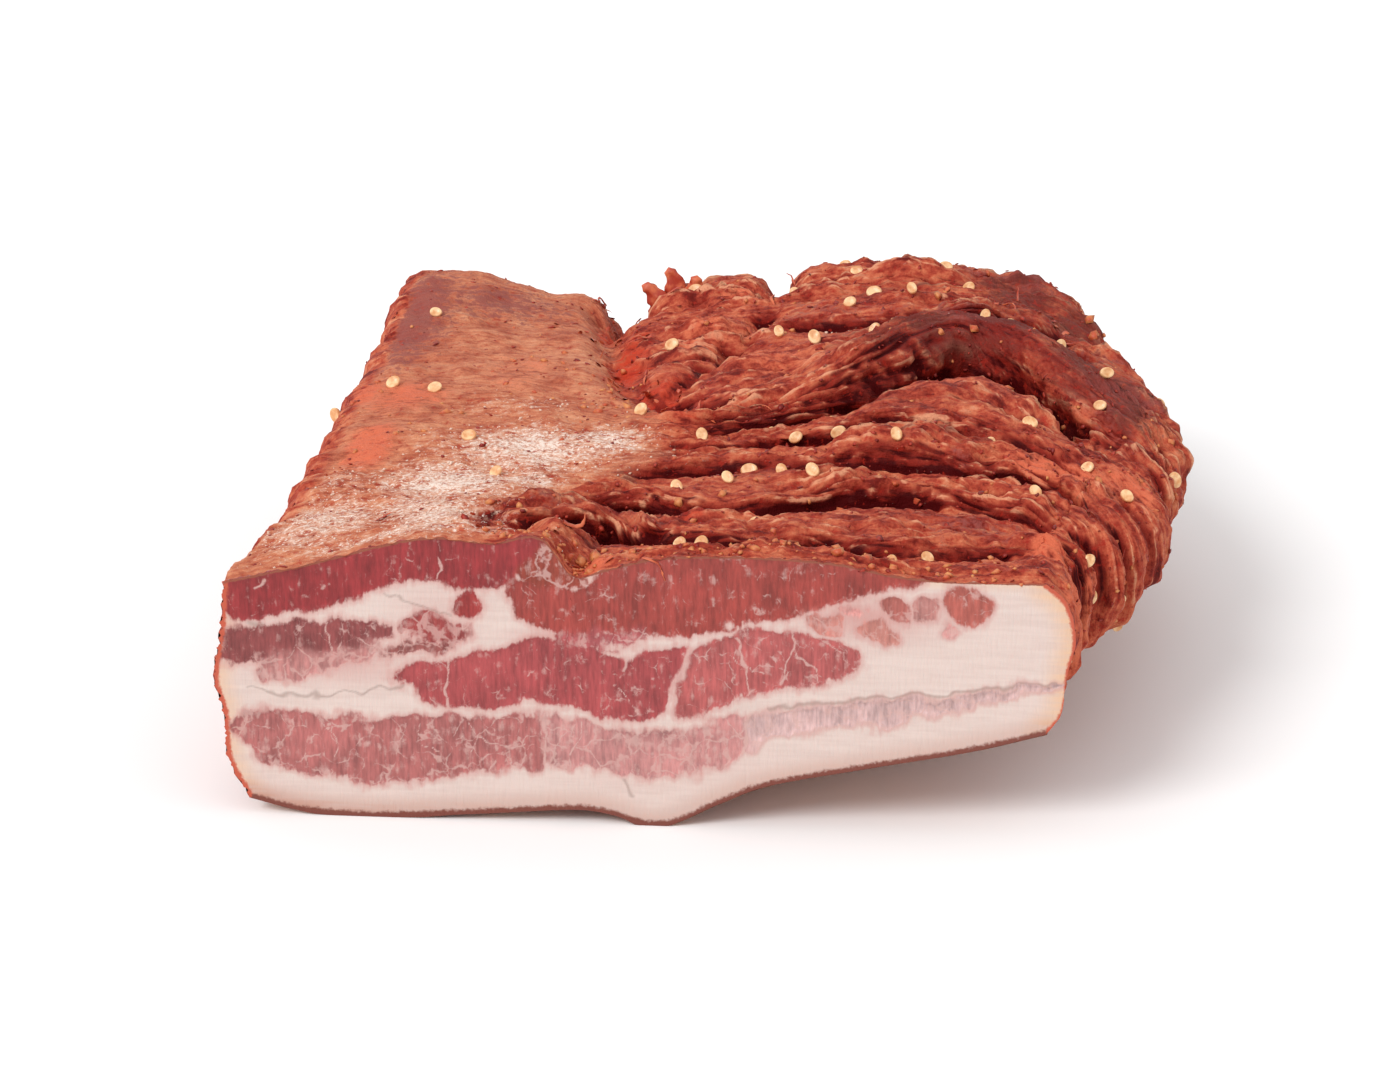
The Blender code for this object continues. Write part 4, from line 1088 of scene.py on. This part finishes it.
def inside_distance(x, z, outline):
    """How far inside a closed outline each point lies, negative outside it."""
    line = np.array(outline, float)
    for _ in range(2):
        following = np.roll(line, -1, axis=0)
        line = np.stack([0.75 * line + 0.25 * following, 0.25 * line + 0.75 * following], 1).reshape(-1, 2)
    inside = np.zeros(x.shape, bool)
    for (start_x, start_z), (end_x, end_z) in zip(line, np.roll(line, -1, axis=0)):
        if start_z != end_z:
            crossing = (end_x - start_x) * (z - start_z) / (end_z - start_z) + start_x
            inside ^= ((start_z > z) != (end_z > z)) & (x < crossing)
    away = line_distance(x, z, np.concatenate([line, line[:1]]))
    return np.where(inside, away, -away)


def spanned(depth, columns, rows):
    """A grid that fills the ring of the skin at a depth, from its left side to its right."""
    u, v = np.linspace(0, 1, columns), np.linspace(0, 1, rows)
    sides = {}
    for side, share in ((0, u), (2, 1 - u), (3, v), (1, 1 - v)):
        x, y, z, _, _ = surface(side, share, np.full(share.shape, depth))
        out_x, out_z = way_out(side, share)
        stray = ragged_edge(side, share) if depth == 0 else 0.0
        sides[side] = np.stack([x + stray * out_x, y, z + stray * out_z], -1)
    top, bottom, left, right = sides[0], sides[2], sides[3], sides[1]
    u, v = u[None, :, None], v[:, None, None]
    corners = (
        (1 - u) * (1 - v) * bottom[0] + u * (1 - v) * bottom[-1] + (1 - u) * v * top[0] + u * v * top[-1]
    )
    return (1 - v) * bottom[None] + v * top[None] + (1 - u) * left[:, None] + u * right[:, None] - corners


def crumbs(name, centres, ways, sizes, flatness, draw, corners=6):
    """Many small uneven crumbs as one mesh: two tips and a ring of corners each, lying on the skin."""
    count = len(centres)
    way = ways + draw.normal(0, 0.35, ways.shape)
    way /= np.linalg.norm(way, axis=1, keepdims=True)
    side = np.cross(way, draw.normal(0, 1, ways.shape))
    side /= np.linalg.norm(side, axis=1, keepdims=True)
    third = np.cross(way, side)
    angle = 2 * math.pi * (np.arange(corners)[None, :] + draw.uniform(-0.3, 0.3, (count, corners))) / corners
    reach = sizes[:, None] * draw.uniform(0.6, 1.15, (count, corners))
    ring = (
        centres[:, None]
        + side[:, None] * (reach * np.cos(angle))[:, :, None]
        + third[:, None] * (0.75 * reach * np.sin(angle))[:, :, None]
        + way[:, None] * draw.uniform(-0.2, 0.2, (count, corners, 1)) * sizes[:, None, None]
    )
    tip = way * (flatness * sizes)[:, None]
    points = np.concatenate([ring, (centres + tip)[:, None], (centres - tip)[:, None]], axis=1)
    points = points.reshape(-1, 3)
    first = np.arange(count)[:, None] * (corners + 2)
    faces = []
    for k in range(corners):
        j = (k + 1) % corners
        faces.append(np.concatenate([first + k, first + j, first + corners], 1))
        faces.append(np.concatenate([first + j, first + k, first + corners + 1], 1))
    return make_mesh(name, points, np.concatenate(faces), smooth=False)


def torn_strands(name, starts, ways, lengths, widths, draw, steps=7, sides=6):
    """Torn fibres as one mesh: flat strands that leave the skin at a low angle, bend and taper."""
    points, faces = [], []
    for start, way, length, width in zip(starts, ways, lengths, widths):
        along_skin = np.cross(way, draw.normal(0, 1, 3))
        heading = along_skin / np.linalg.norm(along_skin) + 0.35 * way
        at = start - 0.5 * way
        faces.append(tube_faces(len(points) * sides, steps, sides))
        for step in range(steps):
            t = step / (steps - 1)
            heading = heading / np.linalg.norm(heading)
            across = np.cross(heading, way)
            across /= max(np.linalg.norm(across), 1e-6)
            turn = 2 * math.pi * np.arange(sides) / sides
            size = width * (1 - 0.9 * t**1.5) * draw.uniform(0.75, 1.2)
            flat = 0.3 * size * np.cross(across, heading)
            points.append(at + size * across * np.cos(turn)[:, None] + flat * np.sin(turn)[:, None])
            heading = heading + draw.normal(0, 0.3, 3) + (0, 0, -0.08)
            at = at + heading * length / (steps - 1)
    return make_mesh(name, np.concatenate(points), np.concatenate(faces))


def nearest_shares(places):
    """For each place in plan, the shares of the top's width and depth that come closest to it."""
    widths, depths = np.linspace(0.02, 0.98, 121), np.linspace(0.02, 0.96, 151)
    found_x, found_y, *_ = surface(0, widths[None, :], depths[:, None])
    nearest = [np.argmin(np.hypot(found_x - x, found_y - y)) for x, y in places]
    deep, wide = np.unravel_index(nearest, found_x.shape)
    return zip(widths[wide], depths[deep])


def seed_places():
    """The seeds on the top, and more of them all over, with fewer on the smooth flank plate."""
    draw = random.Random(SEED_SEED)
    found = []
    for share, depth in nearest_shares(SEEDS):
        found.append((*skin_frame(0, share, depth), draw.uniform(0, math.pi)))
    while len(found) < len(SEEDS) + MORE_SEEDS:
        side = draw.choices((0, 1, 3), (5, 4, 1))[0]
        share, depth = draw.uniform(0.03, 0.93), draw.uniform(0.03, 0.93)
        keep, turn = draw.random(), draw.uniform(0, math.pi)
        point, out = skin_frame(side, share, depth)
        on_plate = side == 0 and point[0] < -25
        if keep > (0.3 if on_plate else 1.0) or (side != 0 and point[2] < 22):
            continue
        if all(np.linalg.norm(point - other[0]) > SEED_GAP for other in found):
            found.append((point, out, turn))
    return found


def colour(name, description, text):
    """A colour setting whose default is given as six hex digits."""
    return FloatVectorProperty(
        name=name, description=description, subtype="COLOR", size=4, min=0, max=1, default=linear(text)
    )


class PancettaCrustLooks(PropertyGroup):
    deep_colour: colour("Deep tone", "Darkest tone of the furrowed side", "#4c0f0b")
    dark_colour: colour("Dark tone", "Dark tone of the furrowed side", "#741b12")
    crust_colour: colour("Crust", "Main colour of the furrowed side", "#a8422e")
    ridge_colour: colour("Ridges", "Pale tone of the furrowed side", "#c46848")
    tan_colour: colour("Tan", "Palest tone of the furrowed side", "#e2a07c")
    plate_dark_colour: colour("Plate dark", "Darkest tone of the smooth flank plate", "#93402c")
    plate_colour: colour("Plate", "Main colour of the smooth flank plate", "#b96548")
    plate_pale_colour: colour("Plate pale", "Pale tone of the smooth flank plate", "#cf8461")
    plate_tan_colour: colour("Plate tan", "Palest tone of the smooth flank plate", "#e2ab88")
    plum_colour: colour("Plum", "Bare purple-brown meat", "#8e4540")
    orange_colour: colour("Orange", "Orange patches of spiced fat", "#d4694a")
    wine_colour: colour("Wine", "Dark wine-red smooth meat of the roll", "#6a2721")
    red_colour: colour("Red", "Bright red torn meat", "#c03c24")
    # Painted shade: darker reds for the shade on the camera-facing fold walls and in the hollows
    painted_wall_shade_colour: colour("Fold walls", "Red of the walls inside the folds", "#7c1d15")
    painted_hollow_shade_colour: colour("Hollows", "Wine red of the folds' moist bottoms", "#40080a")
    bloom_colour: colour("Bloom", "Dusting of dried fat", "#dcb29d")
    salt_colour: colour("Salt bloom", "Dusting of salt", "#f0ddd0")
    flake_colour: colour("Flakes", "Chilli flakes sunk in the crust", "#a82a1c")


class PancettaRindLooks(PropertyGroup):
    rind_colour: colour("Rind", "Main colour of the rind", "#b57a62")
    pale_colour: colour("Pale rind", "Palest tone of the rind", "#d2a287")
    dark_colour: colour("Dark rind", "Creases and pores of the rind", "#7d4535")


class PancettaCutLooks(PropertyGroup):
    fat_colour: colour("Fat", "Back fat", "#cdbab2")
    warm_fat_colour: colour("Warm fat", "Fat beside the crust, tinted by the cure", "#d2ab8b")
    fat_shade_colour: colour("Fat layers", "Slightly darker tone in the fat", "#c0a9a1")
    low_fat_colour: colour("Fat over the rind", "Pink-brown fat over the rind", "#b28473")
    haze_colour: colour("Haze", "Fat with fine lean in it", "#bb8a84")
    fringe_colour: colour("Fringe", "Pink edge of the fat round the lean", "#bd8e87")
    membrane_colour: colour("Membranes", "Thin grey membranes", "#917b72")
    beige_rim_colour: colour("Top rim", "Dried edge under the crust", "#8a4a38")
    brown_rim_colour: colour("Rind line", "Edge of the rind under the fat", "#733c31")
    red_rim_colour: colour("Side rim", "Cured edge at the sides", "#b5513a")
    relief: FloatProperty(
        name="Relief", description="How far the lean lies under the fat, in millimetres", default=0.3, min=0,
        soft_max=2,
    )


class PancettaRubLooks(PropertyGroup):
    seed_colour: colour("Seeds", "Chilli seeds", "#efc695")
    seed_shade_colour: colour("Seed shade", "Darker tone of the seeds", "#d3945f")
    flake_colour: colour("Flakes", "Chilli flakes", "#a8321f")
    flake_shade_colour: colour("Dark flakes", "Darker chilli flakes", "#7a1812")
    crumb_colour: colour("Crumbs", "Orange crumbs of spiced fat", "#bb4f2e")
    crumb_shade_colour: colour("Pale crumbs", "Paler crumbs", "#cf8650")
    salt_colour: colour("Salt", "Grains of salt", "#e6cdbc")
    salt_shade_colour: colour("Stained salt", "Salt stained by the rub", "#cf9f86")
    torn_colour: colour("Torn meat", "Torn fibres and curls", "#a93a27")
    torn_shade_colour: colour("Torn meat shade", "Second tone of the torn meat", "#cf6b45")
    flake_count: IntProperty(name="Flakes", description="Chilli flakes on the crust", default=2600, min=0)
    crumb_count: IntProperty(name="Crumbs", description="Orange crumbs on the crust", default=520, min=0)
    salt_count: IntProperty(name="Salt", description="Grains of salt on the smooth side", default=600, min=0)
    strand_count: IntProperty(name="Strands", description="Torn fibres that stand out", default=150, min=0)


class PancettaStageLooks(PropertyGroup):
    floor_colour: colour("Floor", "The plain floor", "#f8f7f7")
    azimuth: FloatProperty(name="Azimuth", description="The camera's turn, in degrees", default=5.0)
    elevation: FloatProperty(name="Elevation", description="The camera's height, in degrees", default=18.5)
    distance: FloatProperty(
        name="Distance", description="From the camera to what it looks at", default=1.2969, unit="LENGTH"
    )
    lens: FloatProperty(name="Lens", description="Focal length in millimetres", default=124.97)
    sun: FloatProperty(name="Main light", description="Strength of the soft main light", default=1.9, min=0)
    sun_softness: FloatProperty(name="Softness", description="Angle that the main light spans", default=26.0)
    sky: FloatProperty(name="Surround", description="Brightness of the white surround", default=0.88, min=0)


class PANCETTA_OT_crust(Operator):
    """Builds the furrowed top, the walls and the uncut end as one skin, and the rind under them"""
    bl_idname = "pancetta.crust"
    bl_label = "Crust and rind"

    def execute(self, context):
        place, fields = skin_grid()
        split = LEFT_COLUMNS + TOP_COLUMNS + RIGHT_COLUMNS + 1
        crust = crust_material(context.scene.pancetta_crust)
        upper = place[:, :split]
        skin = make_mesh(
            "crust", upper.reshape(-1, 3), grid_faces(*upper.shape[:2])[:, ::-1],
            {name: values[:, :split] for name, values in fields.items()},
        )
        finish_piece(skin, crust)
        under = np.concatenate([place[:, split - 1:], place[:, :1]], axis=1)
        rind = make_mesh("rind", under.reshape(-1, 3), grid_faces(*under.shape[:2])[:, ::-1])
        finish_piece(rind, rind_material(context.scene.pancetta_rind))

        cap = spanned(1.0, 160, 24)
        x, z = cap[..., 0], cap[..., 2]
        inner = np.ones(cap.shape[:2])
        inner[[0, -1]] = 0
        inner[:, [0, -1]] = 0
        cap[..., 1] += inner * (0.8 * lumps(x, 0.0, z, 7, 3.3) + 0.4 * lumps(x, 0.0, z, 3, 5.3))
        values = {"wall": np.ones(x.shape), "strips": np.ones(x.shape), "grain_across": x, "grain_along": z}
        end = make_mesh("uncut_end", cap.reshape(-1, 3), grid_faces(*x.shape)[:, ::-1], values)
        finish_piece(end, crust)
        return {"FINISHED"}


class PANCETTA_OT_cut_face(Operator):
    """Builds the knife's face, with its layers of lean and fat, septa, veins and flecks"""
    bl_idname = "pancetta.cut_face"
    bl_label = "Cut face"

    def execute(self, context):
        looks = context.scene.pancetta_cut
        grid = spanned(0.0, CUT_COLUMNS, CUT_ROWS)
        x, z = grid[..., 0], grid[..., 2]
        lean = np.full(x.shape, -50.0)
        weight = np.full(x.shape, 1e-9)
        marbling = np.zeros(x.shape)
        tint = np.zeros(x.shape + (4,))
        bent_x = x + 1.6 * lumps(x, 0.0, z, 6, 1.7) + 0.7 * lumps(x, 0.0, z, 2.2, 3.1)
        bent_z = z + 1.6 * lumps(x, 0.0, z, 6, 5.7) + 0.7 * lumps(x, 0.0, z, 2.2, 7.1)
        for layer in LEAN:
            bend = min(0.3 + 2 * layer["marbling"], 1.8)
            depth = inside_distance(x + bend * (bent_x - x), z + bend * (bent_z - z), layer["outline"])
            share = np.exp(np.clip(depth, -9, 3) / 0.9)
            lean = np.maximum(lean, depth)
            weight += share
            marbling += share * layer["marbling"]
            tint += share[..., None] * linear(layer["colour"])
        for patch_x, patch_z, half_x, half_z in PATCHES:
            away = np.hypot((x - patch_x) / half_x, (z - patch_z) / half_z) - 1
            lean = np.minimum(lean, away * min(half_x, half_z))
        vein = np.zeros(x.shape)
        for line, width in VEINS:
            vein = np.maximum(vein, np.exp(-((line_distance(bent_x, bent_z, line) / (0.62 * width)) ** 2)))
        for fleck_x, fleck_z, radius in FLECKS:
            away = np.hypot(bent_x - fleck_x, bent_z - fleck_z) / radius
            vein = np.maximum(vein, 0.8 * np.exp(-(away**2)))
        membrane = np.zeros(x.shape)
        for line, width in MEMBRANES:
            membrane = np.maximum(membrane, np.exp(-((line_distance(bent_x, bent_z, line) / width) ** 2)))

        sides = [
            line_distance(x, z, np.stack(rounded_run(run, np.linspace(0, 1, 60)), 1))
            for run in (CUT_TOP, CUT_BOTTOM, CUT_LEFT, CUT_RIGHT)
        ]
        to_top, to_bottom, to_left, to_right = sides
        rims = np.stack([away / width for away, width in zip(sides, RIM_WIDTHS)])
        rim_colours = np.array([
            looks.beige_rim_colour, looks.brown_rim_colour, looks.red_rim_colour, looks.red_rim_colour,
        ])
        warm = np.maximum.reduce([
            smooth_step(8, 0, to_right), 0.8 * smooth_step(7, 0, to_left), 0.5 * smooth_step(3, 0, to_top),
        ])
        low = smooth_step(7, 1, to_bottom) * (0.55 + 0.35 * smooth_step(-20, -90, x))
        fat = np.broadcast_to(np.array(looks.fat_colour), x.shape + (4,))
        for share, tone in ((warm, looks.warm_fat_colour), (low, looks.low_fat_colour)):
            fat = (1 - share[..., None]) * fat + share[..., None] * np.array(tone)

        rim = rims.min(axis=0)
        inward = looks.relief * smooth_step(-0.5, 0.6, lean) * smooth_step(0, 2, rim)
        grid[..., 1] = inward + 0.15 * smooth_step(0, 2, rim) * lumps(x, 0.0, z, 12, 4.4)
        face = make_mesh(
            "cut_face", grid.reshape(-1, 3), grid_faces(*x.shape),
            {
                "lean": lean, "marbling": marbling / weight, "haze": spots(HAZE, x, z), "vein": vein,
                "line": membrane, "rim": rim,
            },
            {
                "lean_colour": tint / weight[..., None], "fat_colour": fat,
                "rim_colour": rim_colours[rims.argmin(axis=0)],
            },
        )
        finish_piece(face, cut_material(looks))
        return {"FINISHED"}


class PANCETTA_OT_seeds(Operator):
    """Presses the chilli seeds into the rub, as flat ovals with a raised rim"""
    bl_idname = "pancetta.seeds"
    bl_label = "Chilli seeds"

    def execute(self, context):
        looks = context.scene.pancetta_rub
        skin = bpy.data.objects["crust"].data
        tree = BVHTree.FromPolygons([v.co[:] for v in skin.vertices], [p.vertices[:] for p in skin.polygons])
        sides = 18
        turn = 2 * math.pi * np.arange(sides) / sides
        oval = 1 + 0.10 * np.cos(turn) + 0.05 * np.cos(2 * turn)
        points, faces = [], []
        for index, (point, out, angle) in enumerate(seed_places()):
            hit, *_ = tree.ray_cast(Vector(to_row(point + out * 8)), Vector(-out), 0.018)
            if hit is not None:
                point = np.array(hit) / MM + (ORIGIN_X, ORIGIN_Y, 0.0)
            out = out + SEED_TILT
            out /= np.linalg.norm(out)
            side = np.cross(out, (math.cos(angle), math.sin(angle), 0.3))
            side /= np.linalg.norm(side)
            third = np.cross(out, side)
            size = 0.5 * SEED_LENGTH * (0.88 + 0.2 * ((index * 7) % 5) / 4)
            faces.append(tube_faces(len(points) * sides, len(SEED_PROFILE), sides))
            for reach, lift in SEED_PROFILE:
                ring = reach * size * oval
                across, along_it = (ring * np.cos(turn))[:, None], (ring * np.sin(turn))[:, None]
                raised = out * (lift * SEED_THICKNESS + SEED_LIFT)
                points.append(point + side * across + 0.84 * third * along_it + raised)
        seeds = make_mesh("chilli_seeds", np.concatenate(points), np.concatenate(faces))
        finish_piece(seeds, mottled_material(
            "dried_chilli_seed", looks.seed_colour, looks.seed_shade_colour, 2.0,
            {"Roughness": 0.42, "Coat Weight": 0.15, "IOR": 1.45},
        ))
        return {"FINISHED"}


class PANCETTA_OT_rub(Operator):
    """Scatters the rub: chilli flakes, orange crumbs and grains of salt"""
    bl_idname = "pancetta.rub"
    bl_label = "Rub"

    def execute(self, context):
        looks = context.scene.pancetta_rub
        points, ways, fields = crust_samples(("strips", "plate", "wall", "bloom", "orange", "painted_shade"))
        drift = spots(DRIFTS, points[:, 0], points[:, 1]) * (fields["strips"] + fields["plate"])
        cover = fields["strips"] + 0.3 * fields["plate"] + 0.3 * fields["wall"]
        # Each kind: name, material, count, how likely each place is, size, flatness, corners, two colours
        kinds = (
            ("chilli_flakes", "dried_chilli_flake", looks.flake_count, 0.5 * cover + drift, 0.62, 0.28, 6,
             looks.flake_colour, looks.flake_shade_colour),
            ("orange_crumbs", "spiced_fat_crumb", looks.crumb_count,
             0.03 * cover + 2.2 * drift + 0.12 * fields["orange"], 1.0, 0.55, 6,
             looks.crumb_colour, looks.crumb_shade_colour),
            ("salt_grains", "curing_salt", looks.salt_count, fields["bloom"] ** 1.5, 0.42, 0.6, 5,
             looks.salt_colour, looks.salt_shade_colour),
        )
        for seed, kind in enumerate(kinds, 21):
            name, material, count, chance, size, flatness, corners, first, second = kind
            draw = np.random.default_rng(seed)
            chance = chance * fields["area"]
            picked = draw.choice(len(points), size=count, p=chance / chance.sum())
            centres = points[picked] + draw.normal(0, 0.35, (count, 3)) * (1, 1, 0.3)
            sizes = size * np.clip(draw.lognormal(0, 0.38, count), 0.5, 2.4)
            grains = crumbs(name, centres, ways[picked], sizes, flatness, draw, corners)
            shine = {"Roughness": 0.5, "IOR": 1.45}
            finish_piece(grains, mottled_material(material, first, second, 2.5, shine))
        return {"FINISHED"}


class PANCETTA_OT_torn(Operator):
    """Adds torn fibres along the seam, the notches and the cut's top edge, and the curls at the end"""
    bl_idname = "pancetta.torn"
    bl_label = "Torn fibres and curls"

    def execute(self, context):
        looks = context.scene.pancetta_rub
        points, ways, fields = crust_samples(("strips", "plate"))
        x, y = points[:, 0], points[:, 1]
        seam = np.exp(-((line_distance(x, y, GROOVES[0]["path"]) / 7) ** 2))
        chance = fields["area"] * (fields["strips"] + fields["plate"]) * (seam + spots(TEARS, x, y) + 0.01)
        draw = np.random.default_rng(31)
        picked = draw.choice(len(points), size=looks.strand_count, p=chance / chance.sum())
        lengths = draw.uniform(3, 9, looks.strand_count)
        widths = draw.uniform(0.4, 1.1, looks.strand_count)
        torn = torn_strands("torn_fibres", points[picked], ways[picked], lengths, widths, draw)
        finish_piece(torn, mottled_material(
            "torn_dried_meat", looks.torn_colour, looks.torn_shade_colour, 4.0,
            {"Roughness": 0.45, "IOR": 1.42},
        ))

        sides, steps = 20, 22
        turn = 2 * math.pi * np.arange(sides) / sides
        points, faces = [], []
        for foot_x, foot_y, length, lean in CURLS:
            middle, _ = skin_frame(0, (foot_x - LEFT_WALL[-1][1]) / CURL_SPAN, foot_y / SLAB_DEPTH)
            middle = middle - np.array([0, 0, CURL_ROOT])
            faces.append(tube_faces(len(points) * sides, steps, sides))
            for t in np.linspace(0, 1, steps):
                bend = math.radians(lean) * t
                wobble = 1 + 0.5 * lumps(np.cos(turn) * 2 + foot_x, np.sin(turn) * 2, t * 6, 1.3, 3.0)
                radius = CURL_RADIUS * (1 - CURL_TAPER * t) * wobble * (1 - 0.9 * smooth_step(0.9, 1, t))
                across, deep = radius * np.cos(turn), CURL_FLATNESS * radius * np.sin(turn)
                section = np.stack([across * math.cos(bend), deep, -across * math.sin(bend)], 1)
                points.append(middle + section)
                stride = (length + CURL_ROOT) / (steps - 1)
                middle = middle + np.array([math.sin(bend), 0, math.cos(bend)]) * stride
        curls = make_mesh("torn_curls", np.concatenate(points), np.concatenate(faces))
        finish_piece(curls, mottled_material(
            "torn_meat_curl", looks.torn_colour, looks.torn_shade_colour, 3.0,
            {"Roughness": 0.5, "IOR": 1.42},
        ))
        return {"FINISHED"}


class PANCETTA_OT_stage(Operator):
    """Sets the plain floor, the soft lights and the camera"""
    bl_idname = "pancetta.stage"
    bl_label = "Stage"

    def execute(self, context):
        looks = context.scene.pancetta_stage
        scene = context.scene
        mesh = bpy.data.meshes.new("floor")
        reach = 6.0
        corners = [(-reach, -reach, 0), (reach, -reach, 0), (reach, reach, 0), (-reach, reach, 0)]
        mesh.from_pydata(corners, [], [(0, 1, 2, 3)])
        floor = bpy.data.objects.new("floor", mesh)
        scene.collection.objects.link(floor)
        material = bpy.data.materials.new("matt_white_floor")
        material.use_nodes = True
        shader = material.node_tree.nodes["Principled BSDF"].inputs
        shader["Base Color"].default_value = looks.floor_colour
        shader["Roughness"].default_value = 0.8
        shader["Specular IOR Level"].default_value = 0.2
        mesh.materials.append(material)

        scene.world = bpy.data.worlds.new("white_surround")
        scene.world.use_nodes = True
        surround = scene.world.node_tree.nodes["Background"].inputs
        surround["Color"].default_value = (1, 1, 1, 1)
        surround["Strength"].default_value = looks.sky
        lamp = bpy.data.lights.new("main_light", "SUN")
        lamp.energy = looks.sun
        lamp.angle = math.radians(looks.sun_softness)
        light = bpy.data.objects.new("main_light", lamp)
        scene.collection.objects.link(light)
        light.rotation_euler = Vector(SUN_FROM).to_track_quat("Z", "Y").to_euler()

        camera = bpy.data.objects.new("camera", bpy.data.cameras.new("camera"))
        scene.collection.objects.link(camera)
        camera.data.lens = looks.lens
        camera.data.sensor_width = 36.0
        camera.data.clip_start = 0.05
        camera.data.clip_end = 50.0
        around, up = math.radians(looks.azimuth), math.radians(looks.elevation)
        back = Vector((math.sin(around) * math.cos(up), -math.cos(around) * math.cos(up), math.sin(up)))
        camera.location = Vector(to_row(LOOKED_AT)) + back * looks.distance
        camera.rotation_euler = back.to_track_quat("Z", "Y").to_euler()
        scene.camera = camera
        scene.view_settings.view_transform = "Standard"
        scene.view_settings.look = "None"
        return {"FINISHED"}


class PANCETTA_PT_panel(Panel):
    """Lists the pieces in the sidebar"""
    bl_idname = "PANCETTA_PT_panel"
    bl_label = "Pancetta"
    bl_space_type = "VIEW_3D"
    bl_region_type = "UI"
    bl_category = "Pancetta"

    def draw(self, context):
        for operator in OPERATORS:
            self.layout.operator(operator.bl_idname)
        for key in GROUPS:
            group = getattr(context.scene, key)
            for name in group.__annotations__:
                self.layout.prop(group, name)


GROUPS = {
    "pancetta_crust": PancettaCrustLooks,
    "pancetta_rind": PancettaRindLooks,
    "pancetta_cut": PancettaCutLooks,
    "pancetta_rub": PancettaRubLooks,
    "pancetta_stage": PancettaStageLooks,
}
OPERATORS = (
    PANCETTA_OT_crust, PANCETTA_OT_cut_face, PANCETTA_OT_seeds, PANCETTA_OT_rub, PANCETTA_OT_torn,
    PANCETTA_OT_stage,
)


def register():
    for kind in (*GROUPS.values(), *OPERATORS, PANCETTA_PT_panel):
        bpy.utils.register_class(kind)
    for name, group in GROUPS.items():
        setattr(bpy.types.Scene, name, PointerProperty(type=group))


def unregister():
    for name in GROUPS:
        delattr(bpy.types.Scene, name)
    for kind in reversed((*GROUPS.values(), *OPERATORS, PANCETTA_PT_panel)):
        bpy.utils.unregister_class(kind)


def main():
    register()
    bpy.ops.pancetta.crust()
    bpy.ops.pancetta.cut_face()
    bpy.ops.pancetta.seeds()
    bpy.ops.pancetta.rub()
    bpy.ops.pancetta.torn()
    bpy.ops.pancetta.stage()


if __name__ == "__main__":
    main()
